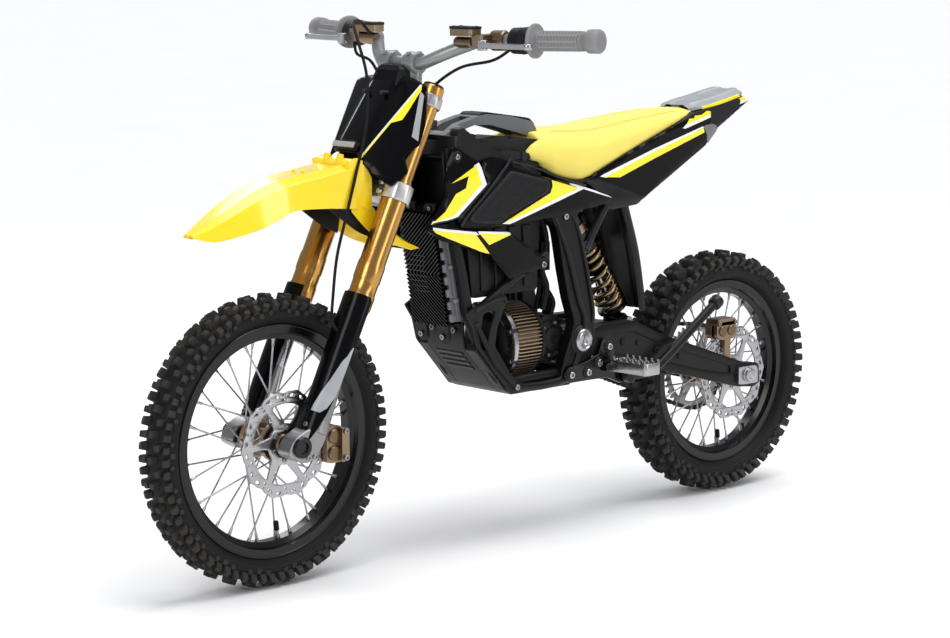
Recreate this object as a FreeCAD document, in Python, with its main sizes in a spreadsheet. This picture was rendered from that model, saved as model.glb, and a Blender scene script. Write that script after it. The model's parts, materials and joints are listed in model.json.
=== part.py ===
"""Youth electric dirt bike.

Millimetres. X points to the bike's left, -Y forward and +Z up.
The origin is on the ground, midway between the two axles, in the centre plane.
"""
import FreeCAD, Part
import math
import os

from FreeCAD import Placement, Rotation, Vector

os.makedirs("parts", exist_ok=True)

doc = FreeCAD.newDocument("dirt_bike")

# Driving dimensions, in millimetres and degrees.
DIMENSIONS = [
    ("wheelbase", 1086.0),
    ("front_tyre_radius", 241.0),
    ("front_tyre_width", 67.0),
    ("front_rim_radius", 191.0),
    ("rear_tyre_radius", 228.5),
    ("rear_tyre_width", 78.0),
    ("rear_rim_radius", 172.0),
    ("tread_flat_half", 22.0),
    ("disc_radius", 90.0),
    ("disc_thickness", 3.5),
    ("front_disc_offset", 46.0),
    ("rear_disc_offset", 47.0),
    ("spoke_radius", 1.5),
    ("axle_radius", 8.0),
    ("axle_running_gap", 0.05),
    ("rake_angle", 26.0),
    ("fork_origin_ahead", 387.5),
    ("fork_origin_height", 500.0),
    ("fork_half_spacing", 74.0),
    ("stem_behind_legs", 24.0),
    ("stanchion_bore", 17.0),
    ("upper_tube_radius", 18.5),
    ("lower_tube_radius", 21.75),
    ("guard_inner_radius", 24.6),
    ("guard_outer_radius", 28.0),
    ("guard_length", 252.0),
    ("bar_radius", 11.0),
    ("grip_radius", 16.5),
    ("throttle_sleeve_gap", 0.1),
    ("pivot_radius", 8.0),
    ("pivot_behind_origin", 101.0),
    ("pivot_height", 344.0),
    ("shock_eye_bolt_radius", 5.0),
    ("spring_outer_radius", 29.0),
    ("spring_wire_radius", 4.5),
    ("spring_length", 128.0),
    ("reservoir_radius", 19.0),
    ("chain_pitch", 12.7),
    ("rear_sprocket_teeth", 40.0),
    ("drive_sprocket_teeth", 11.0),
    ("sprocket_thickness", 5.0),
    ("chain_line_offset", 48.5),
    ("motor_radius", 68.0),
    ("motor_flange_radius", 73.0),
    ("skid_half_width", 74.0),
    ("bash_guard_offset", 76.5),
    ("bash_guard_thickness", 4.0),
    ("beam_inner_offset", 60.0),
    ("beam_thickness", 24.0),
    ("frame_tube_radius", 11.0),
    ("head_tube_radius", 27.0),
    ("subframe_tube_radius", 9.0),
    ("battery_half_width", 57.0),
    ("handle_half_width", 27.0),
    ("sink_height", 200.0),
    ("sink_lean_angle", 9.9),
    ("shroud_offset", 90.0),
    ("shroud_thickness", 5.0),
    ("side_panel_offset", 88.0),
    ("side_panel_thickness", 8.0),
    ("seat_half_width", 72.0),
    ("tail_half_width", 62.0),
    ("tail_side_thickness", 9.0),
    ("mudguard_half_width", 46.0),
    ("arm_inner_offset", 62.0),
    ("arm_thickness", 24.0),
    ("bracket_offset", 86.0),
    ("bracket_thickness", 6.0),
    ("peg_length", 90.0),
    ("stand_leg_radius", 8.5),
    ("plate_half_width", 46.0),
    ("fender_half_width", 48.0),
    ("fender_thickness", 4.0),
    ("button_radius", 4.5),
    ("button_length", 7.0),
    ("bolt_head_radius", 7.0),
    ("hose_radius", 2.6),
]

sheet = doc.addObject("Spreadsheet::Sheet", "dims")
for row, (alias, value) in enumerate(DIMENSIONS, start=1):
    sheet.set(f"A{row}", alias)
    sheet.set(f"B{row}", str(value))
    sheet.setAlias(f"B{row}", alias)
doc.recompute()

SIZE = {alias: float(sheet.get(alias)) for alias, _ in DIMENSIONS}
nodes = []


# ---------------------------------------------------------------- helpers

def unique(kind, name):
    """Add one document object of the given type."""
    return doc.addObject(kind, name)


def bind(obj, **expressions):
    """Tie properties to spreadsheet formulas; a bare alias stands for dims.alias."""
    for prop, formula in expressions.items():
        obj.setExpression(prop, formula)


def cell(formula):
    """Turn an alias, a number or a formula into an expression string."""
    return f"dims.{formula}" if formula in SIZE else str(formula)


def node(obj, label):
    """Register an object as an exported sub-part."""
    obj.Label = label
    nodes.append(obj)
    return obj


def turn_from_z(direction):
    """Rotation that takes +Z to the given direction."""
    return Rotation(Vector(0, 0, 1), Vector(*direction))


def rod(name, start, end, radius):
    """Cylinder between two points; radius is an alias or a number."""
    first = Vector(*start)
    run = Vector(*end) - first
    obj = unique("Part::Cylinder", name)
    obj.Placement = Placement(first, turn_from_z(run))
    obj.Height = run.Length
    bind(obj, Radius=cell(radius))
    return obj


def ball(name, centre, radius):
    obj = unique("Part::Sphere", name)
    obj.Placement = Placement(Vector(*centre), Rotation())
    bind(obj, Radius=cell(radius))
    return obj


def block(name, low, high):
    """Box between two opposite corners."""
    obj = unique("Part::Box", name)
    obj.Placement = Placement(Vector(*low), Rotation())
    obj.Length = high[0] - low[0]
    obj.Width = high[1] - low[1]
    obj.Height = high[2] - low[2]
    return obj


def fuse(name, shapes):
    obj = unique("Part::MultiFuse", name)
    obj.Shapes = shapes
    return obj


def cut(name, base, tool):
    obj = unique("Part::Cut", name)
    obj.Base = base
    obj.Tool = tool
    return obj


def group(name, links):
    obj = unique("Part::Compound", name)
    obj.Links = links
    return obj


def mirror(name, source):
    """Copy of a left-hand piece on the right-hand side."""
    obj = unique("Part::Mirroring", name)
    obj.Source = source
    obj.Normal = Vector(1, 0, 0)
    return obj


def pair(name, left):
    """Left-hand piece and its mirror image, kept as two solids."""
    return group(name, [left, mirror(name + "_right", left)])


def tube_run(name, points, radius):
    """Round tube through a row of points, with rounded corners."""
    pieces = []
    for index in range(len(points) - 1):
        pieces.append(rod(f"{name}_run", points[index], points[index + 1], radius))
    for point in points[1:-1]:
        pieces.append(ball(f"{name}_bend", point, f"{cell(radius)} * 1.004"))
    return fuse(name, pieces)


def origin_item(body, role):
    for feature in body.Origin.OriginFeatures:
        if feature.Role == role:
            return feature
    raise ValueError(role)


def sketch_on(body, role, loops, offset="0"):
    """Closed outlines on one of the body's own origin planes."""
    sketch = body.newObject("Sketcher::SketchObject", body.Name + "_sketch")
    sketch.AttachmentSupport = [(origin_item(body, role), "")]
    sketch.MapMode = "FlatFace"
    bind(sketch, **{"AttachmentOffset.Base.z": cell(offset)})
    for loop in loops:
        if loop[0] == "circle":
            centre = Vector(loop[1], loop[2], 0)
            sketch.addGeometry(Part.Circle(centre, Vector(0, 0, 1), loop[3]))
            continue
        corners = [Vector(u, v, 0) for u, v in loop]
        for index, corner in enumerate(corners):
            following = corners[(index + 1) % len(corners)]
            sketch.addGeometry(Part.LineSegment(corner, following))
    return sketch


def slab(name, loops, offset, thickness, role="YZ_Plane"):
    """Outline padded along the normal of an origin plane."""
    body = unique("PartDesign::Body", name)
    sketch = sketch_on(body, role, loops, offset)
    pad = body.newObject("PartDesign::Pad", name + "_pad")
    pad.Profile = sketch
    bind(pad, Length=cell(thickness))
    body.Tip = pad
    return body


def turned(name, outline, along="x"):
    """Outline of (position along the axis, radius) turned through a full circle."""
    body = unique("PartDesign::Body", name)
    if along == "x":
        sketch = sketch_on(body, "XZ_Plane", [outline])
        axis = "H_Axis"
    else:
        sketch = sketch_on(body, "XZ_Plane", [[(r, a) for a, r in outline]])
        axis = "V_Axis"
    spin = body.newObject("PartDesign::Revolution", name + "_turn")
    spin.Profile = sketch
    spin.ReferenceAxis = (sketch, [axis])
    spin.Angle = 360
    body.Tip = spin
    return body


def ring_pockets(body, name, loop, offset, depth, count):
    """Pocket cut through the body and repeated around its X axis."""
    sketch = sketch_on(body, "YZ_Plane", [loop], offset)
    pocket = body.newObject("PartDesign::Pocket", name + "_pocket")
    pocket.Profile = sketch
    pocket.Reversed = True
    bind(pocket, Length=cell(depth))
    pattern = body.newObject("PartDesign::PolarPattern", name + "_pattern")
    pattern.Originals = [pocket]
    pattern.Axis = (origin_item(body, "X_Axis"), [""])
    pattern.Angle = 360
    bind(pattern, Occurrences=cell(count))
    body.Tip = pattern
    return body


def arc_points(radius, start, end, steps, centre=(0.0, 0.0)):
    """Points on an arc, angles in degrees from the sketch's first axis."""
    points = []
    for index in range(steps + 1):
        angle = math.radians(start + (end - start) * index / steps)
        points.append((centre[0] + radius * math.cos(angle), centre[1] + radius * math.sin(angle)))
    return points


def at_front_axle(obj):
    bind(obj, **{
        "Placement.Base.y": "-dims.wheelbase / 2",
        "Placement.Base.z": "dims.front_tyre_radius",
    })
    return obj


def at_rear_axle(obj):
    bind(obj, **{
        "Placement.Base.y": "dims.wheelbase / 2",
        "Placement.Base.z": "dims.rear_tyre_radius",
    })
    return obj


def on_fork(obj):
    """Set a piece modelled in the fork's own frame, with +Z up the fork legs."""
    obj.Placement = Placement(Vector(0, 0, 0), Rotation(Vector(-1, 0, 0), SIZE["rake_angle"]))
    bind(obj, **{
        "Placement.Base.y": "-dims.fork_origin_ahead",
        "Placement.Base.z": "dims.fork_origin_height",
        "Placement.Rotation.Angle": "dims.rake_angle",
    })
    return obj


def fork_point(across, behind, up):
    """Row position of a point given in the fork's own frame."""
    rake = math.radians(SIZE["rake_angle"])
    return (
        across,
        -SIZE["fork_origin_ahead"] + behind * math.cos(rake) + up * math.sin(rake),
        SIZE["fork_origin_height"] - behind * math.sin(rake) + up * math.cos(rake),
    )


def in_fork(y, z):
    """Fork-frame position (behind, up) of a point given in the row's own frame."""
    rake = math.radians(SIZE["rake_angle"])
    dy = y + SIZE["fork_origin_ahead"]
    dz = z - SIZE["fork_origin_height"]
    return dy * math.cos(rake) - dz * math.sin(rake), dy * math.sin(rake) + dz * math.cos(rake)


FRONT_AXLE = (-SIZE["wheelbase"] / 2, SIZE["front_tyre_radius"])
REAR_AXLE = (SIZE["wheelbase"] / 2, SIZE["rear_tyre_radius"])
PIVOT = (SIZE["pivot_behind_origin"], SIZE["pivot_height"])
SHOCK_TOP = (140.0, 572.0)
SHOCK_FOOT = (281.0, 354.0)


# ---------------------------------------------------------------- wheels

def mirrored_outline(half):
    """Half outline completed with its mirror image across the centre plane."""
    return half + [(-a, r) for a, r in reversed(half)]


def tyre(label, radius, width, flange):
    """Hollow tyre with a flat tread crown and beads held in the rim."""
    half = width / 2
    wall = flange + 0.5 * (radius - flange)
    outside = [
        (19.2, flange - 10.5),
        (19.2, flange + 1.5),
        (half * 0.93, flange + 9),
        (half, wall),
        (half * 0.86, radius - 9),
        (SIZE["tread_flat_half"], radius),
    ]
    inside = [
        (13.0, flange - 10.5),
        (13.0, flange + 3.0),
        (half - 8, flange + 10),
        (half - 7, wall),
        (half * 0.86 - 7, radius - 20),
        (SIZE["tread_flat_half"] - 6, radius - 13),
    ]
    outline = mirrored_outline(list(reversed(inside)) + outside)
    return node(turned(label, outline), label)


def rim(label, flange):
    """Drop-centre rim with a flange on each side."""
    outer = [
        (23.0, flange - 13),
        (23.0, flange),
        (19.5, flange),
        (19.5, flange - 11),
        (12.0, flange - 12),
        (8.0, flange - 20),
    ]
    inner = [(9.5, flange - 24), (14.0, flange - 15)]
    return node(turned(label, mirrored_outline(inner + outer)), label)


def spokes(label, flange, hub_radius, pairs_per_side):
    """Crossed wire spokes between the hub flanges and the rim."""
    wires = []
    outer = flange - 24.6
    for side in (1, -1):
        for index in range(pairs_per_side):
            for lean, lateral in ((1, 28.0), (-1, 24.0)):
                at_hub = 360.0 * (index + 0.25 * (side + 1)) / pairs_per_side
                at_rim = math.radians(at_hub + lean * 38)
                start_angle = math.radians(at_hub)
                start = (
                    side * lateral,
                    hub_radius * math.cos(start_angle),
                    hub_radius * math.sin(start_angle),
                )
                end = (
                    side * (3.0 if lean > 0 else 6.0),
                    outer * math.cos(at_rim),
                    outer * math.sin(at_rim),
                )
                wires.append(rod(label + "_wire", start, end, "spoke_radius"))
    return node(group(label, wires), label)


def hub(label, disc_offset, far_offset, far_radius):
    """Hub barrel with two spoke flanges and a disc seat."""
    bore = SIZE["axle_radius"] + SIZE["axle_running_gap"]
    outline = [
        (-50.0, bore),
        (-50.0, 15.0),
        (-far_offset, 15.0),
        (-far_offset, far_radius),
        (-far_offset + 4, far_radius),
        (-31.0, 24.0),
        (-31.0, 32.0),
        (-21.0, 32.0),
        (-17.0, 21.0),
        (17.0, 21.0),
        (21.0, 32.0),
        (31.0, 32.0),
        (31.0, 24.0),
        (disc_offset - 5, 30.0),
        (disc_offset, 30.0),
        (disc_offset, 20.0),
        (50.0, 15.0),
        (50.0, bore),
    ]
    return node(turned(label, outline), label)


def brake_disc(label, offset):
    """Flat rotor with six window openings and a ring of small slots."""
    outline = [("circle", 0, 0, SIZE["disc_radius"]), ("circle", 0, 0, 20.0)]
    body = slab(label, outline, offset, "disc_thickness")
    window = arc_points(66.0, -22, 22, 4) + arc_points(38.0, 16, -16, 3)
    ring_pockets(body, label + "_window", window, offset, "disc_thickness", 6)
    slot = [(72.0, -3.0), (84.0, 1.0), (84.0, 5.0), (72.0, 1.0)]
    ring_pockets(body, label + "_slot", slot, offset, "disc_thickness", 12)
    return node(body, label)


def sprocket(label, teeth_alias, offset, bore, phase, tooth_height):
    """Chain sprocket with open tooth gaps sized for the chain rollers."""
    teeth = int(SIZE[teeth_alias])
    pitch_radius = SIZE["chain_pitch"] / (2 * math.sin(math.pi / teeth))
    outline = [("circle", 0, 0, pitch_radius + tooth_height), ("circle", 0, 0, bore)]
    body = slab(label, outline, offset, "sprocket_thickness")
    root = arc_points(4.7, 90, 270, 8, (pitch_radius, 0.0))
    gap = [(pitch_radius + 9, 7.4)] + root + [(pitch_radius + 9, -7.4)]
    turned_gap = []
    for u, v in gap:
        turned_gap.append((
            u * math.cos(phase) - v * math.sin(phase),
            u * math.sin(phase) + v * math.cos(phase),
        ))
    ring_pockets(body, label + "_gap", turned_gap, offset, "sprocket_thickness", teeth_alias)
    return body


def front_wheel():
    flange = SIZE["front_rim_radius"]
    at_front_axle(tyre("front_tyre", SIZE["front_tyre_radius"], SIZE["front_tyre_width"], flange))
    at_front_axle(rim("front_rim", flange))
    at_front_axle(spokes("front_spokes", flange, 34.2, 8))
    at_front_axle(hub("front_hub", SIZE["front_disc_offset"], 44.0, 20.0))
    at_front_axle(brake_disc("front_brake_disc", "front_disc_offset"))


def rear_wheel(chain):
    flange = SIZE["rear_rim_radius"]
    at_rear_axle(tyre("rear_tyre", SIZE["rear_tyre_radius"], SIZE["rear_tyre_width"], flange))
    at_rear_axle(rim("rear_rim", flange))
    at_rear_axle(spokes("rear_spokes", flange, 34.2, 8))
    at_rear_axle(hub("rear_hub", SIZE["rear_disc_offset"], 46.0, 30.0))
    at_rear_axle(brake_disc("rear_brake_disc", "rear_disc_offset"))
    offset = "-dims.chain_line_offset - dims.sprocket_thickness / 2"
    body = sprocket("rear_sprocket", "rear_sprocket_teeth", offset, 22.0, chain["rear_phase"], 3.4)
    window = arc_points(64.0, -20, 20, 4) + arc_points(40.0, 14, -14, 3)
    ring_pockets(body, "rear_sprocket_window", window, offset, "sprocket_thickness", 6)
    at_rear_axle(node(body, "rear_sprocket"))


# ---------------------------------------------------------------- chain drive

def plan_chain(link_count):
    """Find the drive sprocket's place for a whole number of links, and every roller."""
    pitch = SIZE["chain_pitch"]
    n_rear = SIZE["rear_sprocket_teeth"]
    n_drive = SIZE["drive_sprocket_teeth"]
    r_rear = pitch / (2 * math.sin(math.pi / n_rear))
    r_drive = pitch / (2 * math.sin(math.pi / n_drive))

    def links(distance):
        lean = math.asin((r_rear - r_drive) / distance)
        span = 2 * math.sqrt(distance ** 2 - (r_rear - r_drive) ** 2) / pitch
        wraps = n_rear * (math.pi + 2 * lean) + n_drive * (math.pi - 2 * lean)
        return span + wraps / (2 * math.pi), lean

    low, high = 450.0, 560.0
    for _ in range(60):
        middle = (low + high) / 2
        if links(middle)[0] < link_count:
            low = middle
        else:
            high = middle
    distance = (low + high) / 2
    lean = links(distance)[1]
    rise = 347.0 - REAR_AXLE[1]
    drive = (REAR_AXLE[0] - math.sqrt(distance ** 2 - rise ** 2), 347.0)

    # Angle of the line from the drive sprocket to the rear axle.
    base = math.atan2(REAR_AXLE[1] - drive[1], REAR_AXLE[0] - drive[0])
    top_normal = base + math.pi / 2 + lean
    low_normal = base - math.pi / 2 - lean
    span = math.sqrt(distance ** 2 - (r_rear - r_drive) ** 2) / pitch
    wrap_rear = n_rear * (math.pi + 2 * lean) / (2 * math.pi)
    wrap_drive = n_drive * (math.pi - 2 * lean) / (2 * math.pi)

    def on_circle(centre, radius, angle):
        return (centre[0] + radius * math.cos(angle), centre[1] + radius * math.sin(angle))

    def place(count):
        """Point of the pitch line, counted in links from the drive's upper tangent."""
        start_top = on_circle(drive, r_drive, top_normal)
        end_top = on_circle(REAR_AXLE, r_rear, top_normal)
        if count <= span:
            share = count / span
            return tuple(a + (b - a) * share for a, b in zip(start_top, end_top))
        count -= span
        if count <= wrap_rear:
            return on_circle(REAR_AXLE, r_rear, top_normal - 2 * math.pi * count / n_rear)
        count -= wrap_rear
        if count <= span:
            share = count / span
            start_low = on_circle(REAR_AXLE, r_rear, low_normal)
            end_low = on_circle(drive, r_drive, low_normal)
            return tuple(a + (b - a) * share for a, b in zip(start_low, end_low))
        count -= span
        return on_circle(drive, r_drive, low_normal - 2 * math.pi * count / n_drive)

    rollers = [place(index) for index in range(link_count)]
    first_rear = math.ceil(span) - span
    first_drive = math.ceil(2 * span + wrap_rear) - (2 * span + wrap_rear)
    return {
        "drive": drive,
        "rollers": rollers,
        "rear_phase": top_normal - 2 * math.pi * first_rear / n_rear,
        "drive_phase": low_normal - 2 * math.pi * first_drive / n_drive,
        "radii": (r_drive, r_rear),
        "normals": (top_normal, low_normal),
    }


def chain_band(chain, reach):
    """Outline that runs round both sprockets at a set distance from the pitch line."""
    top, low = (math.degrees(angle) for angle in chain["normals"])
    r_drive, r_rear = chain["radii"]
    rear = arc_points(r_rear + reach, top, low, 24, REAR_AXLE)
    drive = arc_points(r_drive + reach, low, top - 360, 12, chain["drive"])
    return rear + drive


def drive_chain(chain):
    """Two rows of side plates joined by a roller at every pitch."""
    loops = [chain_band(chain, 4.6), chain_band(chain, -4.6)]
    outer = slab("chain_outer_row", loops, "-dims.chain_line_offset - 6.2", "1.8")
    inner = slab("chain_inner_row", loops, "-dims.chain_line_offset + 4.4", "1.8")
    pieces = [outer, inner]
    line = SIZE["chain_line_offset"]
    for across, height in chain["rollers"]:
        start = (-line - 4.4, across, height)
        end = (-line + 4.4, across, height)
        pieces.append(rod("chain_roller", start, end, "3.9"))
    node(group("drive_chain", pieces), "drive_chain")


def drive_sprocket(chain):
    offset = "-dims.chain_line_offset - dims.sprocket_thickness / 2"
    body = sprocket("drive_sprocket_blank", "drive_sprocket_teeth", offset, 8.0, chain["drive_phase"], 3.0)
    body.Placement.Base = Vector(0, *chain["drive"])
    line = SIZE["chain_line_offset"]
    shaft = rod("drive_shaft", (-line - 9.0, *chain["drive"]), (-36.0, *chain["drive"]), "8")
    node(fuse("drive_sprocket_set", [body, shaft]), "drive_sprocket")


# ---------------------------------------------------------------- front end

def fork_tubes():
    """Upper fork tubes, open at the foot for the sliding stanchions, with top caps."""
    bore = SIZE["stanchion_bore"]
    lower = SIZE["lower_tube_radius"]
    upper = SIZE["upper_tube_radius"]
    outline = [
        (-56.0, bore),
        (-56.0, 23.0),
        (-4.0, 23.0),
        (6.0, lower),
        (164.0, lower),
        (176.0, upper),
        (338.0, upper),
        (338.0, 15.0),
        (344.0, 12.0),
        (344.0, 0.0),
        (328.0, 0.0),
        (328.0, bore - 3.0),
        (206.0, bore - 3.0),
        (200.0, bore),
    ]
    left = turned("fork_tube_left", outline, along="z")
    bind(left, **{"Placement.Base.x": "dims.fork_half_spacing"})
    node(on_fork(pair("fork_tubes", left)), "fork_tubes")


def clamp(name, low, height, ring, bore, behind):
    """Fork clamp: a ring on each leg joined by a bridge that holds the steering stem."""
    spacing = SIZE["fork_half_spacing"]
    rings = []
    holes = []
    for side in (1, -1):
        base = (side * spacing, 0, low)
        top = (side * spacing, 0, low + height)
        rings.append(rod(name + "_ring", base, top, ring))
        holes.append(rod(name + "_hole", base, top, bore))
    bridge = block(name + "_bridge", (-spacing, -13.0, low), (spacing, behind, low + height))
    boss = rod(
        name + "_boss",
        (0, SIZE["stem_behind_legs"], low),
        (0, SIZE["stem_behind_legs"], low + height),
        "24",
    )
    holes.append(rod(
        name + "_stem_hole",
        (0, SIZE["stem_behind_legs"], low),
        (0, SIZE["stem_behind_legs"], low + height),
        "13",
    ))
    solid = fuse(name + "_solid", rings + [bridge, boss])
    return cut(name + "_bored", solid, fuse(name + "_holes", holes))


BAR_POINTS = [
    (50.0, -243.0, 842.0),
    (104.0, -206.0, 869.0),
    (134.0, -182.0, 881.0),
    (352.5, -131.0, 885.0),
]
LEVER_HINGE_X = 176.0
LEVER_AHEAD = 52.0
BAR_SECTION_START = Vector(*BAR_POINTS[-2])
BAR_SECTION_END = Vector(*BAR_POINTS[-1])


def bar_point(across, side=1):
    """Point on the straight outer part of the handlebar."""
    run = BAR_SECTION_END - BAR_SECTION_START
    share = (across - BAR_SECTION_START.x) / run.x
    point = BAR_SECTION_START + run * share
    return (side * point.x, point.y, point.z)


def steering_clamps():
    node(on_fork(clamp("lower_clamp", 134.0, 30.0, "26.5", "lower_tube_radius", 40.0)), "lower_clamp")
    upper = clamp("upper_clamp", 302.0, 20.0, "23", "upper_tube_radius", 38.0)
    upper = on_fork(upper)
    risers = []
    for side in (1, -1):
        foot = fork_point(side * 30, 2, 321)
        risers.append(rod("bar_riser", foot, (side * 30, -243.0, 842.0), "13"))
        risers.append(rod("bar_clamp", (side * 17, -243.0, 842.0), (side * 43, -243.0, 842.0), "19"))
    hole = rod("bar_hole", (-50, -243.0, 842.0), (50, -243.0, 842.0), "bar_radius")
    node(cut("upper_clamp_set", fuse("upper_clamp_solid", [upper] + risers), hole), "upper_clamp")


def steering_stem():
    behind = SIZE["stem_behind_legs"]
    stem = rod("stem_shaft", (0, behind, 134.0), (0, behind, 324.0), "13")
    nut = rod("stem_nut", (0, behind, 322.0), (0, behind, 332.0), "16")
    node(on_fork(fuse("steering_stem_set", [stem, nut])), "steering_stem")


def handlebar():
    right = [(-x, y, z) for x, y, z in reversed(BAR_POINTS)]
    node(tube_run("handlebar", right + BAR_POINTS, "bar_radius"), "handlebar")


def grip(name, side, inner):
    """Grip sleeve with an inner flange and a thicker end."""
    sleeve = rod(name + "_sleeve", bar_point(236, side), bar_point(352.5, side), "grip_radius")
    flange = rod(name + "_flange", bar_point(229, side), bar_point(236, side), "29")
    end = rod(name + "_end", bar_point(330, side), bar_point(352.5, side), "20")
    bore = rod(name + "_bore", bar_point(225, side), bar_point(356, side), inner)
    solid = cut(name + "_hollow", fuse(name + "_solid", [sleeve, flange, end]), bore)
    plug = rod(name + "_plug", bar_point(352.6, side), bar_point(355.0, side), "18")
    return fuse(name, [solid, plug])


def controls():
    """Grips, switch housings and brake master cylinders."""
    node(grip("grip_left", 1, "bar_radius"), "grip_left")
    node(grip("throttle_grip", -1, "dims.bar_radius + dims.throttle_sleeve_gap"), "throttle_grip")
    housings = []
    for side in (1, -1):
        shell = rod("switch_shell", bar_point(190, side), bar_point(226, side), "22")
        bore = rod("switch_bore", bar_point(185, side), bar_point(230, side), "bar_radius")
        recess = button_rod("button_recess", side, 16, 40, "dims.button_radius + 0.3")
        housings.append(cut("switch_housing", shell, fuse("switch_bores", [bore, recess])))
    node(group("switch_housings", housings), "switch_housings")
    reservoirs = []
    for side in (1, -1):
        clamp_ring = rod("reservoir_clamp", bar_point(152, side), bar_point(178, side), "17")
        low_x = min(side * 94, side * 148)
        tank = block("reservoir_tank", (low_x, -226, 888), (low_x + 54, -196, 906))
        neck_x = min(side * 140, side * 166)
        neck = block("reservoir_neck", (neck_x, -219, 870), (neck_x + 26, -188, 892))
        bore = rod("reservoir_bore", bar_point(134, side), bar_point(230, side), "bar_radius")
        solid = fuse("reservoir_solid", [clamp_ring, tank, neck])
        reservoirs.append(cut("reservoir_cleared", solid, bore))
    node(group("master_cylinders", reservoirs), "master_cylinders")


def brake_levers():
    """Flat lever blades, each with a hinge boss and a round tip."""
    hinge_y = bar_point(LEVER_HINGE_X)[1] - LEVER_AHEAD
    boss = rod("lever_boss", (LEVER_HINGE_X, hinge_y, 867), (LEVER_HINGE_X, hinge_y, 885), "9")
    ahead = [(-4, -8), (26, -11), (70, -6), (98, 2)]
    astern = [(98, 12), (70, 5), (26, 1), (-4, 8)]
    outline = [(LEVER_HINGE_X + u, hinge_y + v) for u, v in ahead + astern]
    blade = slab("lever_blade", [outline], "871", "10", role="XY_Plane")
    tip = (LEVER_HINGE_X + 98, hinge_y + 7)
    knob = rod("lever_knob", (*tip, 870), (*tip, 882), "7.5")
    left = fuse("lever_left", [boss, blade, knob])
    node(left, "brake_lever_left")
    node(mirror("lever_right", left), "brake_lever_right")


BUTTON_UP = Vector(0, 0.6, 0.8)


def button_rod(name, side, low, high, radius):
    """Rod square to a switch housing, between two heights above the bar's centre line."""
    base = Vector(*bar_point(208, side))
    return rod(name, tuple(base + BUTTON_UP * low), tuple(base + BUTTON_UP * high), radius)


def buttons():
    """Push buttons set in recesses of the switch housings."""
    for label, side in (("mode_button", 1), ("stop_button", -1)):
        node(button_rod(label, side, 19, 19 + SIZE["button_length"], "button_radius"), label)


def number_plate():
    """Shield in front of the fork clamps, with swept-back sides and a lamp strip."""
    edge = SIZE["plate_half_width"]
    outline = [
        (-edge - 18, -34.0),
        (-edge, -66.0),
        (edge, -66.0),
        (edge + 18, -34.0),
        (edge + 15, -33.0),
        (edge - 2, -62.0),
        (2 - edge, -62.0),
        (-edge - 15, -33.0),
    ]
    shell = slab("number_plate_shell", [outline], "168", "176", role="XY_Plane")
    lamp = block("lamp_strip", (-18, -69.0, 190), (18, -66.0, 206))
    stay = block("plate_stay", (-15, -62.5, 300), (15, -22.5, 316))
    node(on_fork(fuse("number_plate", [shell, lamp, stay])), "number_plate")


def front_fender():
    """Arched fender over the front tyre, with skirts beside the legs and a rear tail."""
    crown = [
        (-706.0, 586.0),
        (-640.0, 622.0),
        (-580.0, 652.0),
        (-540.0, 662.0),
        (-460.0, 664.0),
        (-400.0, 655.0),
        (-330.0, 618.0),
        (-272.0, 530.0),
    ]
    under = [(y + (6 if y > -400 else 0) - 6, z - 7.0) for y, z in reversed(crown[1:])]
    arch = crown + under + [(-700.0, 582.0)]
    top = slab("fender_crown", [arch], "-dims.fender_half_width + 10", "2 * dims.fender_half_width - 20")
    skirt = [
        (-690.0, 588.0),
        (-640.0, 620.0),
        (-580.0, 650.0),
        (-540.0, 660.0),
        (-462.0, 662.0),
        (-400.0, 653.0),
        (-372.0, 640.0),
        (-345.0, 585.0),
        (-358.0, 582.0),
        (-420.0, 618.0),
        (-500.0, 616.0),
        (-560.0, 596.0),
        (-662.0, 578.0),
    ]
    side = slab("fender_skirt", [skirt], "dims.fender_half_width - 10", "fender_thickness")
    pieces = fuse("fender_solid", [top, side, mirror("fender_skirt_right", side)])
    leg_room = []
    for side_x in (SIZE["fork_half_spacing"], -SIZE["fork_half_spacing"]):
        foot = fork_point(side_x, 0, -60)
        leg_room.append(rod("leg_room", foot, fork_point(side_x, 0, 166), "28"))
    node(cut("front_fender", pieces, fuse("fender_leg_room", leg_room)), "front_fender")


def fork_legs():
    """Sliding stanchions with cast feet that hold the front axle."""
    outline = [(-262.0, 0.0), (-262.0, 22.0), (-172.0, 22.0), (-166.0, 16.9), (100.0, 16.9), (100.0, 0.0)]
    stanchion = turned("stanchion", outline, along="z")
    bind(stanchion, **{"Placement.Base.x": "dims.fork_half_spacing"})
    cast = [(-44.0, -322.0), (-12.0, -322.0), (6.0, -300.0), (16.0, -258.0), (-16.0, -258.0), (-44.0, -284.0)]
    foot = slab("fork_foot", [cast], "dims.fork_half_spacing - 17", "34")
    behind, up = in_fork(*FRONT_AXLE)
    axle_hole = rod("foot_hole", (50, behind, up), (100, behind, up), "axle_radius")
    left = cut("fork_leg_left", fuse("fork_leg_solid", [stanchion, foot]), axle_hole)
    node(on_fork(pair("fork_legs", left)), "fork_legs")


def fork_guards():
    """Half-round guards in front of the sliding legs."""
    outer = arc_points(SIZE["guard_outer_radius"], 217, 375, 12)
    inner = arc_points(SIZE["guard_inner_radius"], 375, 217, 12)
    left = slab("fork_guard_left", [outer + inner], "-285", "guard_length", role="XY_Plane")
    bind(left, **{"Placement.Base.x": "dims.fork_half_spacing"})
    foot_room = block("guard_foot_room", (50, -50, -330), (100, 20, -255))
    node(on_fork(pair("fork_guards", cut("fork_guard_trimmed", left, foot_room))), "fork_guards")


def front_axle():
    y, z = FRONT_AXLE
    shaft = rod("front_axle_shaft", (-91.5, y, z), (93, y, z), "axle_radius")
    head = rod("front_axle_head", (91.2, y, z), (97, y, z), "13")
    nut = rod("front_axle_nut", (-97, y, z), (-91.2, y, z), "13")
    node(fuse("front_axle", [shaft, head, nut]), "front_axle")


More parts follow.
